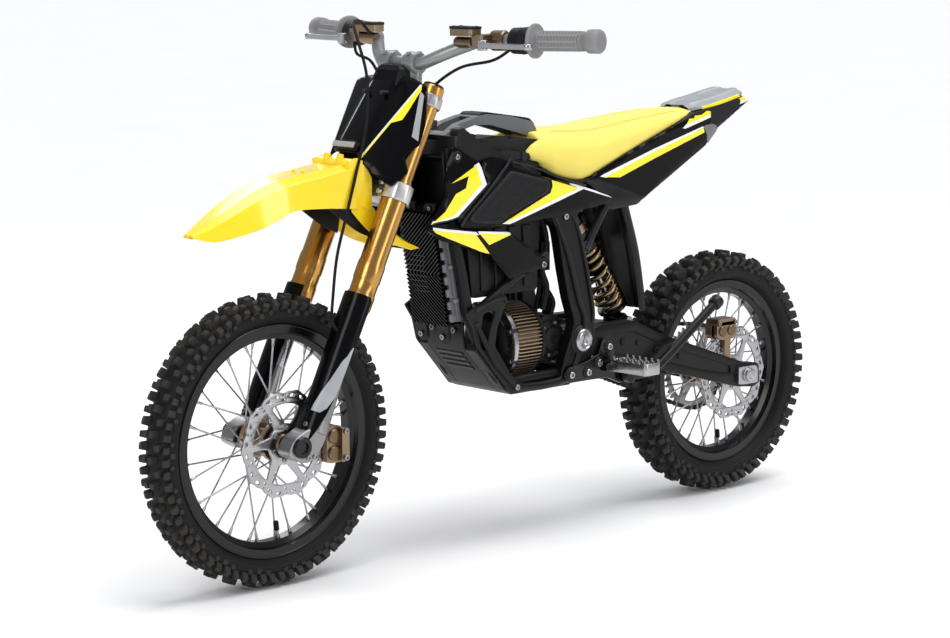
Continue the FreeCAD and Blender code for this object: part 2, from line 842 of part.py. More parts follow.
def caliper(name, centre, disc_low, outer, height, depth):
    """Brake caliper that straddles the edge of a disc."""
    y, z = centre
    low = disc_low - 17
    body = block(name + "_body", (low, y - depth / 2, z - height / 2), (outer, y + depth / 2, z + height / 2))
    slot = block(
        name + "_slot",
        (disc_low - 0.8, y - depth, z - height),
        (disc_low + SIZE["disc_thickness"] + 0.8, y + depth, z + height),
    )
    return cut(name, body, slot), low


def front_caliper():
    """Two caliper halves joined outside the disc's edge."""
    y = FRONT_AXLE[0] + 92
    z = FRONT_AXLE[1] - 12
    halves, low = caliper("front_caliper_halves", (y, z), SIZE["front_disc_offset"], 62.0, 62.0, 34.0)
    bridge = block("front_caliper_bridge", (low, y + 8, z - 31), (74, y + 24, z + 31))
    room = turned("front_disc_room", [(44.8, 0.0), (44.8, 91.0), (50.7, 91.0), (50.7, 0.0)])
    solid = fuse("front_caliper_solid", [halves, bridge])
    node(cut("front_caliper", solid, at_front_axle(room)), "front_caliper")


# ---------------------------------------------------------------- main frame

def main_frame():
    """Cast side beams, head tube, front down tubes, lower rails and cross members."""
    beam = [
        (-198.0, 704.0),
        (-150.0, 664.0),
        (-60.0, 622.0),
        (30.0, 575.0),
        (52.0, 516.0),
        (66.0, 440.0),
        (88.0, 380.0),
        (60.0, 312.0),
        (52.0, 276.0),
        (112.0, 276.0),
        (128.0, 306.0),
        (136.0, 372.0),
        (124.0, 440.0),
        (98.0, 520.0),
        (80.0, 590.0),
        (-40.0, 662.0),
        (-140.0, 706.0),
        (-184.0, 736.0),
    ]
    left = slab("frame_beam_left", [beam], "beam_inner_offset", "beam_thickness")
    right = mirror("frame_beam_right", left)
    behind = SIZE["stem_behind_legs"]
    head = rod("head_tube", fork_point(0, behind, 168), fork_point(0, behind, 299), "head_tube_radius")
    neck = block("head_gusset", (-48, -240.0, 690.0), (48, -188.0, 722.0))
    yoke = block("head_yoke", (-84, -199.0, 690.0), (84, -188.0, 722.0))
    pieces = [left, right, head, neck, yoke]
    for side in (1, -1):
        pieces.append(tube_run("down_tube", [
            (side * 60, -199.0, 700.0),
            (side * 60, -184.0, 570.0),
            (side * 60, -146.0, 400.0),
            (side * 62, -100.0, 316.0),
            (side * 64, -66.0, 286.0),
            (side * 64, 70.0, 286.0),
        ], "frame_tube_radius"))
    pieces.append(rod("upper_shock_member", (-62, 106, 548), (62, 106, 548), "10"))
    pieces.append(rod("motor_member", (-62, 80, 288), (62, 80, 288), "8"))
    for tab_x in (20, -26):
        pieces.append(block("shock_tab", (tab_x, 100, 538), (tab_x + 6, 152, 584)))
    solid = fuse("main_frame_solid", pieces)
    stem = rod("stem_room", fork_point(0, behind, 160), fork_point(0, behind, 310), "13.3")
    pivot = rod("pivot_hole", (-100, *PIVOT), (100, *PIVOT), "pivot_radius")
    eye = rod("shock_bolt_hole", (-30, *SHOCK_TOP), (30, *SHOCK_TOP), "shock_eye_bolt_radius")
    node(cut("main_frame", solid, fuse("frame_bores", [stem, pivot, eye])), "main_frame")


def frame_bolts():
    """Swingarm pivot bolt, upper shock bolt and the visible screw heads."""
    pivot_set = fuse("pivot_bolt_set", [
        rod("pivot_shaft", (-90, *PIVOT), (90, *PIVOT), "pivot_radius"),
        rod("pivot_head", (84.2, *PIVOT), (96, *PIVOT), "20"),
        rod("pivot_nut", (-96, *PIVOT), (-84.2, *PIVOT), "20"),
    ])
    shock_bolt = rod("shock_bolt", (-26, *SHOCK_TOP), (26, *SHOCK_TOP), "shock_eye_bolt_radius")
    heads = []
    for y, z in ((161, 326), (136, 300), (108, 286), (66, 286)):
        for side in (1, -1):
            heads.append(rod("bracket_screw", (side * 92, y, z), (side * 97, y, z), "bolt_head_radius"))
    node(group("frame_bolts", [pivot_set, shock_bolt] + heads), "frame_bolts")


def subframe():
    """Rear rails that carry the seat and tail, with the slanted struts."""
    pieces = []
    for side in (1, -1):
        pieces.append(tube_run("seat_rail", [
            (side * 50, 84.0, 600.0),
            (side * 50, 260.0, 622.0),
            (side * 44, 430.0, 708.0),
        ], "subframe_tube_radius"))
        pieces.append(tube_run("rail_foot", [
            (side * 72, 118.0, 500.0),
            (side * 68, 176.0, 574.0),
            (side * 50, 226.0, 617.0),
        ], "subframe_tube_radius"))
        pieces.append(rod("rail_head", (side * 64, 70, 597), (side * 46, 88, 600), "8"))
    pieces.append(rod("rail_cross_front", (-50, 150, 608.2), (50, 150, 608.2), "8"))
    pieces.append(rod("rail_cross_rear", (-46, 400, 692.8), (46, 400, 692.8), "8"))
    solid = fuse("subframe_solid", pieces)
    beams = slab("subframe_trim", [[(40, 480), (40, 600), (81, 600), (99, 520), (112, 480)]], "55", "33")
    both = fuse("subframe_trims", [beams, mirror("subframe_trim_right", beams)])
    node(cut("subframe", solid, both), "subframe")


def battery():
    """Removable battery case, its lid and the carrying handle."""
    half = "dims.battery_half_width"
    case = [(-152, 676), (-152, 560), (-136, 438), (20, 438), (26, 560), (30, 672)]
    node(slab("battery_case", [case], "-" + half, "2 * " + half), "battery_case")
    lid = [(-168, 676.3), (-160, 700), (-120, 702), (-20, 706), (36, 700), (44, 684), (36, 676.3)]
    lid_body = slab("battery_lid", [lid], "-54", "108")
    node(lid_body, "battery_lid")
    loop = [
        (-186, 700.3),
        (-176, 716),
        (-140, 736),
        (-98, 744),
        (-74, 748),
        (34, 729),
        (44, 712),
        (38, 700.3),
        (16, 700.3),
        (12, 708),
        (-70, 728),
        (-132, 722),
        (-146, 712),
        (-150, 703.0),
        (-160, 700.3),
    ]
    arch = slab("handle_arch", [loop], "-dims.handle_half_width", "2 * dims.handle_half_width")
    above_lid = [(-160.5, 690), (-160.5, 700.2), (-120, 702.2), (-20, 706.2), (36.4, 700.2), (45, 690)]
    room = slab("handle_room", [above_lid], "-60", "120")
    node(cut("battery_handle", arch, room), "battery_handle")


def heat_sink():
    """Controller block with its cooling face in front of the battery."""
    plan = mirrored_outline([(40, -38), (45, -32), (45, 0)])
    body = unique("PartDesign::Body", "controller_heat_sink")
    sketch = sketch_on(body, "XY_Plane", [plan])
    pad = body.newObject("PartDesign::Pad", "heat_sink_pad")
    pad.Profile = sketch
    bind(pad, Length="dims.sink_height")
    body.Tip = pad
    body.Placement = Placement(
        Vector(0, -143, 398),
        Rotation(Vector(1, 0, 0), SIZE["sink_lean_angle"]),
    )
    bind(body, **{"Placement.Rotation.Angle": "dims.sink_lean_angle"})
    node(body, "controller_heat_sink")


def motor(chain):
    """Finned motor with a front flange, and the gear case behind it."""
    centre = 346.0
    radius = SIZE["motor_radius"]
    outline = [
        (-62.0, 0.0),
        (-62.0, 50.0),
        (-52.0, 62.0),
        (-48.0, SIZE["motor_flange_radius"]),
        (-40.0, SIZE["motor_flange_radius"]),
        (-38.0, radius - 5),
        (-26.0, radius - 3),
        (-22.0, radius),
        (30.0, radius),
        (32.0, radius - 9),
        (32.0, 0.0),
    ]
    body = turned("motor_turned", [(a, r) for a, r in outline], along="z")
    body.Placement = Placement(Vector(0, 0, centre), Rotation(Vector(1, 0, 0), -90))
    clear = fuse("motor_rail_room", [
        rod("rail_room", (side * 64, -100, 286), (side * 64, 70, 286), "11.4") for side in (1, -1)
    ])
    node(cut("motor_housing", body, clear), "motor_housing")
    drive_y, drive_z = chain["drive"]
    case = block("gear_case_block", (-34, 32.3, 306), (50, 82, 388))
    boss = rod("gear_case_boss", (49, 57, drive_z), (59.5, 57, drive_z), "21")
    collar = rod("gear_case_collar", (-40, drive_y, drive_z), (-30, drive_y, drive_z), "15")
    bore = rod("gear_case_bore", (-45, drive_y, drive_z), (-20, drive_y, drive_z), "8.05")
    end = rod("gear_case_pivot_room", (-60, *PIVOT), (60, *PIVOT), "18")
    room = rod("gear_case_member_room", (-62, 80, 288), (62, 80, 288), "8.2")
    solid = fuse("gear_case_solid", [case, boss, collar])
    node(cut("gear_case", solid, fuse("gear_case_rooms", [bore, end, room])), "gear_case")


def skid_parts():
    """Skid plate with a narrower upturned nose, and the two openwork side guards."""
    nose_outer = [(-152, 394), (-150, 375), (-146, 352), (-96, 297), (-78, 276), (-62, 264)]
    nose_inner = [(-62, 269), (-74, 280), (-92, 301), (-141, 354), (-145, 375), (-147, 394)]
    nose = slab("skid_nose", [nose_outer + nose_inner], "-48.5", "97")
    floor = [(-62, 264), (82, 264), (82, 269), (-62, 269)]
    plate = slab("skid_floor", [floor], "-dims.skid_half_width", "2 * dims.skid_half_width")
    node(fuse("skid_plate", [nose, plate]), "skid_plate")
    guard = [
        (-170, 418),
        (-158, 424),
        (-86, 443),
        (-76, 436),
        (-104, 386),
        (-110, 355),
        (-70, 300),
        (-42, 271),
        (-64, 271),
        (-92, 300),
        (-142, 356),
        (-152, 392),
    ]
    window = [(-134, 412), (-116, 416), (-124, 362), (-130, 350), (-140, 362)]
    left = slab("bash_guard_left", [guard, window], "bash_guard_offset", "bash_guard_thickness")
    brace = rod("guard_brace", (73.6, -102, 330), (77, -102, 330), "7")
    node(pair("bash_guards", fuse("bash_guard_set", [left, brace])), "bash_guards")


# ---------------------------------------------------------------- bodywork

def bodywork():
    """Shrouds, side panels with knee pads, seat, tail and inner mudguard."""
    shroud = [
        (-262, 580),
        (-236, 640),
        (-222, 700),
        (-196, 716),
        (-150, 676),
        (-136, 642),
        (-178, 592),
        (-210, 584),
    ]
    left = slab("shroud_left", [shroud], "shroud_offset", "shroud_thickness")
    node(pair("shrouds", left), "shrouds")
    panel = [
        (-262, 569),
        (-176, 590),
        (-134, 640),
        (-74, 665),
        (-20, 655),
        (25, 635),
        (165, 594),
        (60, 572),
        (34, 548),
        (-13, 488),
        (-60, 470),
        (-155, 520),
    ]
    skin = slab("side_panel_left", [panel], "side_panel_offset", "side_panel_thickness")
    knee = [(-80, 582), (-40, 640), (10, 632), (14, 596), (-50, 578)]
    pad = slab("knee_pad", [knee], "dims.side_panel_offset + dims.side_panel_thickness", "5")
    node(pair("side_panels", fuse("side_panel_set", [skin, pad])), "side_panels")
    cushion = [
        (52, 706),
        (120, 698),
        (250, 706),
        (375, 731),
        (418, 736),
        (424, 730),
        (300, 680),
        (150, 640),
        (95, 636),
        (48, 654),
        (50, 690),
    ]
    node(slab("seat", [cushion], "-dims.seat_half_width", "2 * dims.seat_half_width"), "seat")
    base = [
        (50, 626),
        (150, 632),
        (300, 668),
        (424, 722),
        (424, 729),
        (300, 679.5),
        (150, 639.5),
        (95, 635.5),
        (50, 648),
    ]
    node(slab("seat_base", [base], "-dims.tail_half_width", "2 * dims.tail_half_width"), "seat_base")
    tail = [(428, 722), (428, 742), (560, 760), (577, 753), (566, 738), (470, 700)]
    top = slab("tail_top", [tail], "-dims.tail_half_width", "2 * dims.tail_half_width")
    side = [
        (238, 590),
        (262, 573),
        (440, 665),
        (566, 740),
        (556, 754),
        (424, 727),
        (300, 674),
        (238, 646),
    ]
    flank = slab("tail_side_left", [side], "dims.tail_half_width + 0.1", "tail_side_thickness")
    flank_right = mirror("tail_side_right", flank)
    node(group("tail_cover", [top, flank, flank_right]), "tail_cover")
    outer = [(252, 588), (266, 549), (288, 484), (303, 410), (307, 374)]
    inner = [(303.5, 374), (299.5, 410), (284.5, 484), (262.5, 549), (248, 588)]
    half = "dims.mudguard_half_width"
    node(slab("inner_mudguard", [outer + inner], "-" + half, "2 * " + half), "inner_mudguard")


# ---------------------------------------------------------------- rear end

def swingarm():
    """Two box arms joined by a bridge behind the pivot, with shock and axle seats."""
    arm = [
        (150, 364),
        (238, 362),
        (308, 330),
        (538, 250),
        (580, 246),
        (584, 210),
        (568, 203),
        (418, 238),
        (278, 273),
        (158, 304),
        (150, 308),
    ]
    left = slab("arm_left", [arm], "arm_inner_offset", "dims.arm_thickness - 3")
    right = mirror("arm_right", left)
    low = block("bridge_low", (-62, 150, 300), (62, 284, 328))
    high = block("bridge_high", (-34, 150, 326), (62, 262, 350))
    tabs = []
    for tab_x in (14, -20):
        tabs.append(block("shock_foot_tab", (tab_x, 262, 328), (tab_x + 6, 292, 362)))
    sleeve = rod("pivot_sleeve", (-36, *PIVOT), (59.4, *PIVOT), "13")
    neck = rod("pivot_sleeve_neck", (-59.4, *PIVOT), (-36, *PIVOT), "10")
    web = block("pivot_web", (-36, 106, 322), (59.4, 152, 350))
    solid = fuse("swingarm_solid", [left, right, low, high, sleeve, neck, web] + tabs)
    running_bore = "dims.pivot_radius + dims.axle_running_gap"
    bores = [
        rod("swingarm_pivot_bore", (-100, *PIVOT), (100, *PIVOT), running_bore),
        rod("shock_foot_bore", (-30, *SHOCK_FOOT), (30, *SHOCK_FOOT), "shock_eye_bolt_radius"),
        rod("axle_slot", (-100, *REAR_AXLE), (100, *REAR_AXLE), "axle_radius"),
    ]
    node(cut("swingarm", solid, fuse("swingarm_bores", bores)), "swingarm")


def rear_axle():
    y, z = REAR_AXLE
    shaft = rod("rear_axle_shaft", (-94, y, z), (94, y, z), "axle_radius")
    pieces = [shaft]
    for side in (1, -1):
        pieces.append(rod("rear_axle_nut", (side * 90, y, z), (side * 98, y, z), "13"))
        pieces.append(block(
            "axle_block",
            (min(side * 83.1, side * 91), y - 26, z - 17),
            (max(side * 83.1, side * 91), y + 26, z + 17),
        ))
    node(fuse("rear_axle", pieces), "rear_axle")


def rear_caliper():
    """Caliper carried above the arm, astride the rear disc."""
    y = REAR_AXLE[0] - 28
    z = REAR_AXLE[1] + 84
    halves, low = caliper("rear_caliper_halves", (y, z), SIZE["rear_disc_offset"], 60.0, 34.0, 58.0)
    bridge = block("rear_caliper_bridge", (low, y - 29, z + 10), (60, y + 29, z + 24))
    stay = block("rear_caliper_stay", (53.2, y - 6, REAR_AXLE[1] + 24), (60, y + 12, z - 10))
    solid = fuse("rear_caliper_solid", [halves, bridge, stay])
    room = turned("rear_disc_room", [(45.8, 0.0), (45.8, 91.0), (51.7, 91.0), (51.7, 0.0)])
    node(cut("rear_caliper", solid, at_rear_axle(room)), "rear_caliper")


def shock():
    """Coil-over shock: body with reservoir, sliding shaft with foot, and spring."""
    top = Vector(0, *SHOCK_TOP)
    foot = Vector(0, *SHOCK_FOOT)
    reach = foot - top
    along = reach.normalize()
    length = (foot - top).Length

    def down(distance, side=(0, 0, 0)):
        point = top + along * distance + Vector(*side)
        return tuple(point)

    eye = rod("shock_top_eye", (-19.5, *SHOCK_TOP), (19.5, *SHOCK_TOP), "12")
    running_bore = "dims.shock_eye_bolt_radius + dims.axle_running_gap"
    eye_bore = rod("shock_top_bore", (-22, *SHOCK_TOP), (22, *SHOCK_TOP), running_bore)
    head = rod("shock_head", down(8), down(60), "19")
    barrel = rod("shock_barrel", down(40), down(150), "18")
    collar = rod("spring_collar", down(84), down(92), "28")
    tank = rod("reservoir", (-30, 193, 547), (-30, 253, 480), "reservoir_radius")
    link = rod("reservoir_link", down(28), (-30, 200, 539), "8")
    bore = rod("shaft_bore", down(58), down(152), "7.1")
    solid = fuse("shock_body_solid", [eye, head, barrel, collar, tank, link])
    tools = fuse("shock_body_bores", [eye_bore, bore])
    node(cut("shock_body", solid, tools), "shock_body")

    shaft = rod("shock_rod", down(104), down(length - 6), "7")
    seat = rod("spring_seat", down(length - 32), down(length - 25), "28")
    low_eye = rod("shock_low_eye", (-13.5, *SHOCK_FOOT), (13.5, *SHOCK_FOOT), "12")
    loose_bore = "dims.shock_eye_bolt_radius + 0.8"
    low_bore = rod("shock_low_bore", (-16, *SHOCK_FOOT), (16, *SHOCK_FOOT), loose_bore)
    node(cut("shock_shaft", fuse("shock_shaft_solid", [shaft, seat, low_eye]), low_bore), "shock_shaft")

    spring_length = length - 32.5 - 92.5
    wire = SIZE["spring_wire_radius"]
    mean = SIZE["spring_outer_radius"] - wire
    pitch = (spring_length - 2 * wire) / 7.0
    helix = Part.makeHelix(pitch, spring_length - 2 * wire, mean)
    section = Part.Wire([Part.makeCircle(wire, Vector(mean, 0, 0), Vector(0, 1, 0))])
    spring = unique("Part::Feature", "shock_spring")
    spring.Shape = Part.Wire(helix).makePipeShell([section], True, True)
    start = top + along * (92.5 + wire)
    spring.Placement = Placement(start, turn_from_z(tuple(along)))
    node(spring, "shock_spring")


# ---------------------------------------------------------------- rider controls low down

def peg_brackets():
    plate = [
        (148, 342),
        (172, 338),
        (180, 300),
        (222, 282),
        (222, 258),
        (196, 256),
        (160, 272),
        (110, 272),
        (60, 272),
        (50, 286),
        (62, 298),
        (108, 304),
        (138, 314),
    ]
    left = slab("peg_bracket_left", [plate], "bracket_offset", "bracket_thickness")
    lug = block("peg_lug", (92, 148, 283), (101, 184, 297))
    node(pair("peg_brackets", fuse("peg_bracket_set", [left, lug])), "peg_brackets")


def footpegs():
    """Folding pegs with a toothed platform."""
    for side, label in ((1, "footpeg_left"), (-1, "footpeg_right")):
        low = min(side * 108, side * 198)
        deck = block(label + "_deck", (low, 146, 284), (low + SIZE["peg_length"], 186, 308))
        hollow = block(label + "_hollow", (low + 6, 152, 280), (low + SIZE["peg_length"] - 6, 180, 320))
        rail = block(label + "_rail", (low + 2, 163, 284), (low + SIZE["peg_length"] - 2, 169, 306))
        tongue = rod(label + "_tongue", (side * 106, 150, 292), (side * 106, 182, 292), "4.4")
        teeth = []
        for index in range(6):
            first = side * (114 + 15 * index)
            tooth_x = min(first, first + side * 6)
            for y in (146, 180):
                teeth.append(block(label + "_tooth", (tooth_x, y, 307.5), (tooth_x + 6, y + 6, 313)))
        frame = cut(label + "_ring", deck, hollow)
        node(fuse(label, [frame, rail, tongue] + teeth), label)


def kickstand():
    """Side stand, folded back beside the swingarm."""
    points = [(101, 206, 269), (101, 262, 270), (101, 304, 292), (101, 436, 378)]
    boss = rod("stand_boss", (92.4, 206, 269), (109, 206, 269), "12")
    leg = tube_run("stand_leg", points, "stand_leg_radius")
    shoe = rod("stand_shoe", (101, 430, 374), (101, 446, 384.4), "13")
    node(fuse("kickstand", [boss, leg, shoe]), "kickstand")


def brake_hose():
    """Front brake hose from the right reservoir, over the shield to the left fork guard."""
    points = [
        (-92, -234, 888),
        (-80, -266, 908),
        (-46, -310, 908),
        (-4, -336, 880),
        (24, -342, 824),
        (38, -354, 752),
        (50, -388, 672),
        (57, -416, 604),
        (70, -448, 540),
        (80, -466, 476),
        (82, -470, 440),
        (80, -458, 420),
    ]
    node(tube_run("front_brake_hose", points, "hose_radius"), "front_brake_hose")


def check_and_export():
    """Recompute, make sure that every object and shape is sound, and write the files."""
    doc.recompute()
    faults = []
    for obj in doc.Objects:
        states = set(obj.State)
        if states & {"Invalid", "Error"}:
            faults.append(f"{obj.Label}: {sorted(states)}")
    for obj in nodes:
        shape = obj.Shape
        if shape.isNull() or not shape.isValid() or not shape.Solids:
            faults.append(f"{obj.Label}: shape is null, invalid or holds no solid")
    if faults:
        raise RuntimeError("\n".join(faults))
    if len(nodes) > 60:
        raise RuntimeError(f"{len(nodes)} nodes")
    for obj in nodes:
        obj.Shape.exportStep(f"parts/{obj.Label}.step")
        print(obj.Label, len(obj.Shape.Solids), round(obj.Shape.Volume / 1000, 1), "cm3")


chain_plan = plan_chain(104)
front_wheel()
rear_wheel(chain_plan)
drive_chain(chain_plan)
drive_sprocket(chain_plan)
fork_tubes()
steering_clamps()
steering_stem()
handlebar()
controls()
brake_levers()
buttons()
number_plate()
front_fender()
fork_legs()
fork_guards()
front_axle()
front_caliper()
main_frame()
frame_bolts()
subframe()
battery()
heat_sink()
motor(chain_plan)
skid_parts()
bodywork()
swingarm()
rear_axle()
rear_caliper()
shock()
peg_brackets()
footpegs()
kickstand()
brake_hose()
check_and_export()
print(len(nodes), "nodes; drive sprocket at", chain_plan["drive"])
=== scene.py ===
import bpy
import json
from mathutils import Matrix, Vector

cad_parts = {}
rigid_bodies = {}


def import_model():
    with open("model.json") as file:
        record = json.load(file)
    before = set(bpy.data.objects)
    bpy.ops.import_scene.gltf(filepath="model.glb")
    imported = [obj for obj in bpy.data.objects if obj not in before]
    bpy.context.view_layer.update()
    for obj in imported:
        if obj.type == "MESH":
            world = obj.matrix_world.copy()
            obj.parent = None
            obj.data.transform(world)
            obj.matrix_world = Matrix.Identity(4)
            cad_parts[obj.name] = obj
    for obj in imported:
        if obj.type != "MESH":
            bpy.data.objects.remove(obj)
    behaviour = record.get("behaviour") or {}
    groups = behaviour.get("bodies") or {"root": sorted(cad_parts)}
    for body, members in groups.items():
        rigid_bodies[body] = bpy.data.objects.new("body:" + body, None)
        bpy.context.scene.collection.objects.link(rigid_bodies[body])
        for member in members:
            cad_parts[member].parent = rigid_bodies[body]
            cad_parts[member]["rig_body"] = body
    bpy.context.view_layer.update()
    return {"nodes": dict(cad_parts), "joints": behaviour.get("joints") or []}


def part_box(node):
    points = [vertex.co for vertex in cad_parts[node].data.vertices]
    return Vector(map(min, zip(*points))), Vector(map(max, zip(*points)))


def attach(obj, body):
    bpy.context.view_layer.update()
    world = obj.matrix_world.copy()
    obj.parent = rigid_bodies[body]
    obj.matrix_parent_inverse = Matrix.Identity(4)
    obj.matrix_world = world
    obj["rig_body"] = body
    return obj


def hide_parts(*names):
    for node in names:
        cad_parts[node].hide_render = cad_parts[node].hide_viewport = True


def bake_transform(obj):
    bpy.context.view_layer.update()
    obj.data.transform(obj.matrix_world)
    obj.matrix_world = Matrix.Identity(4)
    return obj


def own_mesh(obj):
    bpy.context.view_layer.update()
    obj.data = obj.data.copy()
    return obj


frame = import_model()

import json
import math
import random

import bmesh
import bpy
from mathutils import Matrix, Vector

MM = 0.001
rng = random.Random(11)


# ---------------------------------------------------------------- places taken from the frame, in mm

def middle(node):
    low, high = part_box(node)
    return (low + high) / (2 * MM)


def joint(name):
    return next(j for j in frame["joints"] if j["name"] == name)


def joint_point(name):
    return Vector(joint(name)["pos_m"]) / MM


FRONT = middle("front_tyre")
REAR = middle("rear_tyre")
PIVOT = joint_point("swingarm_pivot")
DRIVE = joint_point("drive_sprocket_spin")
FORK_UP = Vector(joint("fork_travel")["axis"])
FORK_BACK = Vector((0, FORK_UP.z, -FORK_UP.y))
FORK_ORIGIN = Vector((0, -387.5, 500.0))
FORK = Matrix((
    (1, 0, 0, 0),
    (0, FORK_BACK.y, FORK_UP.y, FORK_ORIGIN.y),
    (0, FORK_BACK.z, FORK_UP.z, FORK_ORIGIN.z),
    (0, 0, 0, 1),
))
LEG_X = 74.0


# ---------------------------------------------------------------- finishes

def finish(slot, colour, rough, metal=0.0, vary=0.85, grain=30.0, fine=1500.0, bump=0.04, coat=0.0,
           worn=None,
           sheen=0.0, ior=1.5, shine=0.5):
    """Material with a slow colour change, fine surface relief and, where given, paler worn edges."""
    made = bpy.data.materials.new(slot)
    made.use_nodes = True
    nodes, links = made.node_tree.nodes, made.node_tree.links
    shader = nodes["Principled BSDF"]
    shader.inputs["Metallic"].default_value = metal
    shader.inputs["Coat Weight"].default_value = coat
    shader.inputs["Coat Roughness"].default_value = 0.06
    shader.inputs["Sheen Weight"].default_value = sheen
    shader.inputs["IOR"].default_value = ior
    shader.inputs["Specular IOR Level"].default_value = shine
    where = nodes.new("ShaderNodeTexCoord")

    def noise(scale, detail):
        node = nodes.new("ShaderNodeTexNoise")
        node.inputs["Scale"].default_value = scale
        node.inputs["Detail"].default_value = detail
        links.new(where.outputs["Object"], node.inputs["Vector"])
        return node.outputs["Fac"]

    def ramp(source, low, high, first, last):
        node = nodes.new("ShaderNodeValToRGB")
        node.color_ramp.elements[0].position = low
        node.color_ramp.elements[1].position = high
        node.color_ramp.elements[0].color = (*first, 1)
        node.color_ramp.elements[1].color = (*last, 1)
        links.new(source, node.inputs["Fac"])
        return node.outputs["Color"]

    slow = noise(grain, 4)
    darker = tuple(c * vary for c in colour)
    shade = ramp(slow, 0.3, 0.7, darker, colour)
    if worn:
        shape = nodes.new("ShaderNodeNewGeometry")
        edge = ramp(shape.outputs["Pointiness"], 0.52, 0.6, (0, 0, 0), (1, 1, 1))
        mix = nodes.new("ShaderNodeMix")
        mix.data_type = "RGBA"
        mix.inputs["B"].default_value = (*worn, 1)
        links.new(edge, mix.inputs["Factor"])
        links.new(shade, mix.inputs["A"])
        shade = mix.outputs["Result"]
    links.new(shade, shader.inputs["Base Color"])
    spread = nodes.new("ShaderNodeMapRange")
    spread.inputs["To Min"].default_value = rough * 0.85
    spread.inputs["To Max"].default_value = min(1.0, rough * 1.2)
    links.new(slow, spread.inputs["Value"])
    links.new(spread.outputs["Result"], shader.inputs["Roughness"])
    relief = nodes.new("ShaderNodeBump")
    relief.inputs["Strength"].default_value = bump
    relief.inputs["Distance"].default_value = 0.0006
    links.new(noise(fine, 2), relief.inputs["Height"])
    links.new(relief.outputs["Normal"], shader.inputs["Normal"])
    return made


def grained(made, scale, strength, distance=0.0005):
    """Adds a leather-like cell grain to a finish."""
    nodes, links = made.node_tree.nodes, made.node_tree.links
    where = nodes["Texture Coordinate"]
    cells = nodes.new("ShaderNodeTexVoronoi")
    cells.inputs["Scale"].default_value = scale
    links.new(where.outputs["Object"], cells.inputs["Vector"])
    relief = nodes.new("ShaderNodeBump")
    relief.inputs["Strength"].default_value = strength
    relief.inputs["Distance"].default_value = distance
    links.new(cells.outputs["Distance"], relief.inputs["Height"])
    shader = nodes["Principled BSDF"]
    links.new(nodes["Bump"].outputs["Normal"], relief.inputs["Normal"])
    links.new(relief.outputs["Normal"], shader.inputs["Normal"])
    return made


FINISH = {
    "yellow": finish("yellow", (1.0, 0.70, 0.012), 0.22, vary=0.95, bump=0.02, coat=0.5, fine=700),
    "seat_yellow": grained(finish("seat_yellow", (0.98, 0.80, 0.14), 0.62, vary=0.95, sheen=0.15), 900,
                           0.25),
    "decal_yellow": finish("decal_yellow", (1.0, 0.84, 0.004), 0.25, vary=0.97, bump=0.015, coat=0.6),
    "decal_white": finish("decal_white", (0.88, 0.89, 0.9), 0.25, vary=0.96, bump=0.015, coat=0.6),
    # light grey for real grey parts and print, and also for the painted highlight stripe on the number
    # plate's far crease
    "grey_print_and_painted_highlight": finish("grey_print_and_painted_highlight", (0.36, 0.38, 0.40), 0.35, vary=0.85, bump=0.03),
    "gloss_black": finish("gloss_black", (0.0022, 0.0022, 0.0028), 0.15, vary=0.8, bump=0.02, fine=500,
                          shine=0.12),
    "black_plastic": finish("black_plastic", (0.0045, 0.0045, 0.005), 0.42, vary=0.75, bump=0.14,
                            worn=(0.022, 0.022, 0.024), shine=0.2),
    "knee_rubber": finish("knee_rubber", (0.007, 0.007, 0.008), 0.55, vary=0.8, bump=0.22,
                          worn=(0.028, 0.028, 0.03), shine=0.2),
    "grey_plastic": finish("grey_plastic", (0.11, 0.115, 0.125), 0.45, vary=0.85, bump=0.12,
                           worn=(0.2, 0.2, 0.21)),
    "black_frame": finish("black_frame", (0.0035, 0.0035, 0.004), 0.32, vary=0.75, bump=0.09,
                          worn=(0.028, 0.028, 0.03), shine=0.2),
    "black_steel": finish("black_steel", (0.004, 0.004, 0.0045), 0.3, vary=0.75, bump=0.07,
                          worn=(0.03, 0.03, 0.03), shine=0.2),
    "black_alloy": finish("black_alloy", (0.0025, 0.0025, 0.003), 0.2, vary=0.8, bump=0.02, coat=0.1,
                          shine=0.3),
    "rubber": finish("rubber", (0.005, 0.005, 0.005), 0.6, vary=0.8, bump=0.15, shine=0.2),
    "tyre_rubber": finish("tyre_rubber", (0.007, 0.007, 0.007), 0.6, vary=0.6, grain=90, bump=0.3,
                          fine=900, worn=(0.03, 0.028, 0.026), shine=0.2),
    "grey_rubber": finish("grey_rubber", (0.20, 0.20, 0.205), 0.65, vary=0.9, bump=0.15,
                          worn=(0.28, 0.28, 0.28)),
    "gold": finish("gold", (0.50, 0.27, 0.075), 0.24, metal=1.0, vary=0.95, grain=8, bump=0.0),
    "bronze": finish("bronze", (0.19, 0.125, 0.075), 0.33, metal=1.0, vary=0.8, bump=0.06,
                     worn=(0.42, 0.32, 0.22)),
    "spring_bronze": finish("spring_bronze", (0.34, 0.24, 0.13), 0.25, metal=1.0, vary=0.85, bump=0.03),
    "zinc": finish("zinc", (0.24, 0.235, 0.24), 0.33, metal=1.0, vary=0.85, bump=0.06,
                   worn=(0.6, 0.6, 0.6)),
    "silver": finish("silver", (0.42, 0.42, 0.43), 0.26, metal=1.0, vary=0.88, bump=0.04),
    "steel": finish("steel", (0.33, 0.32, 0.31), 0.3, metal=1.0, vary=0.85, bump=0.05),
    "bar_grey": finish("bar_grey", (0.26, 0.275, 0.27), 0.34, metal=0.5, vary=0.9, bump=0.05),
    "lamp": finish("lamp", (0.45, 0.42, 0.42), 0.3, vary=0.9, bump=0.03, coat=0.5),
    "blue": finish("blue", (0.05, 0.25, 0.33), 0.6, vary=0.8),
}


# ---------------------------------------------------------------- shape building

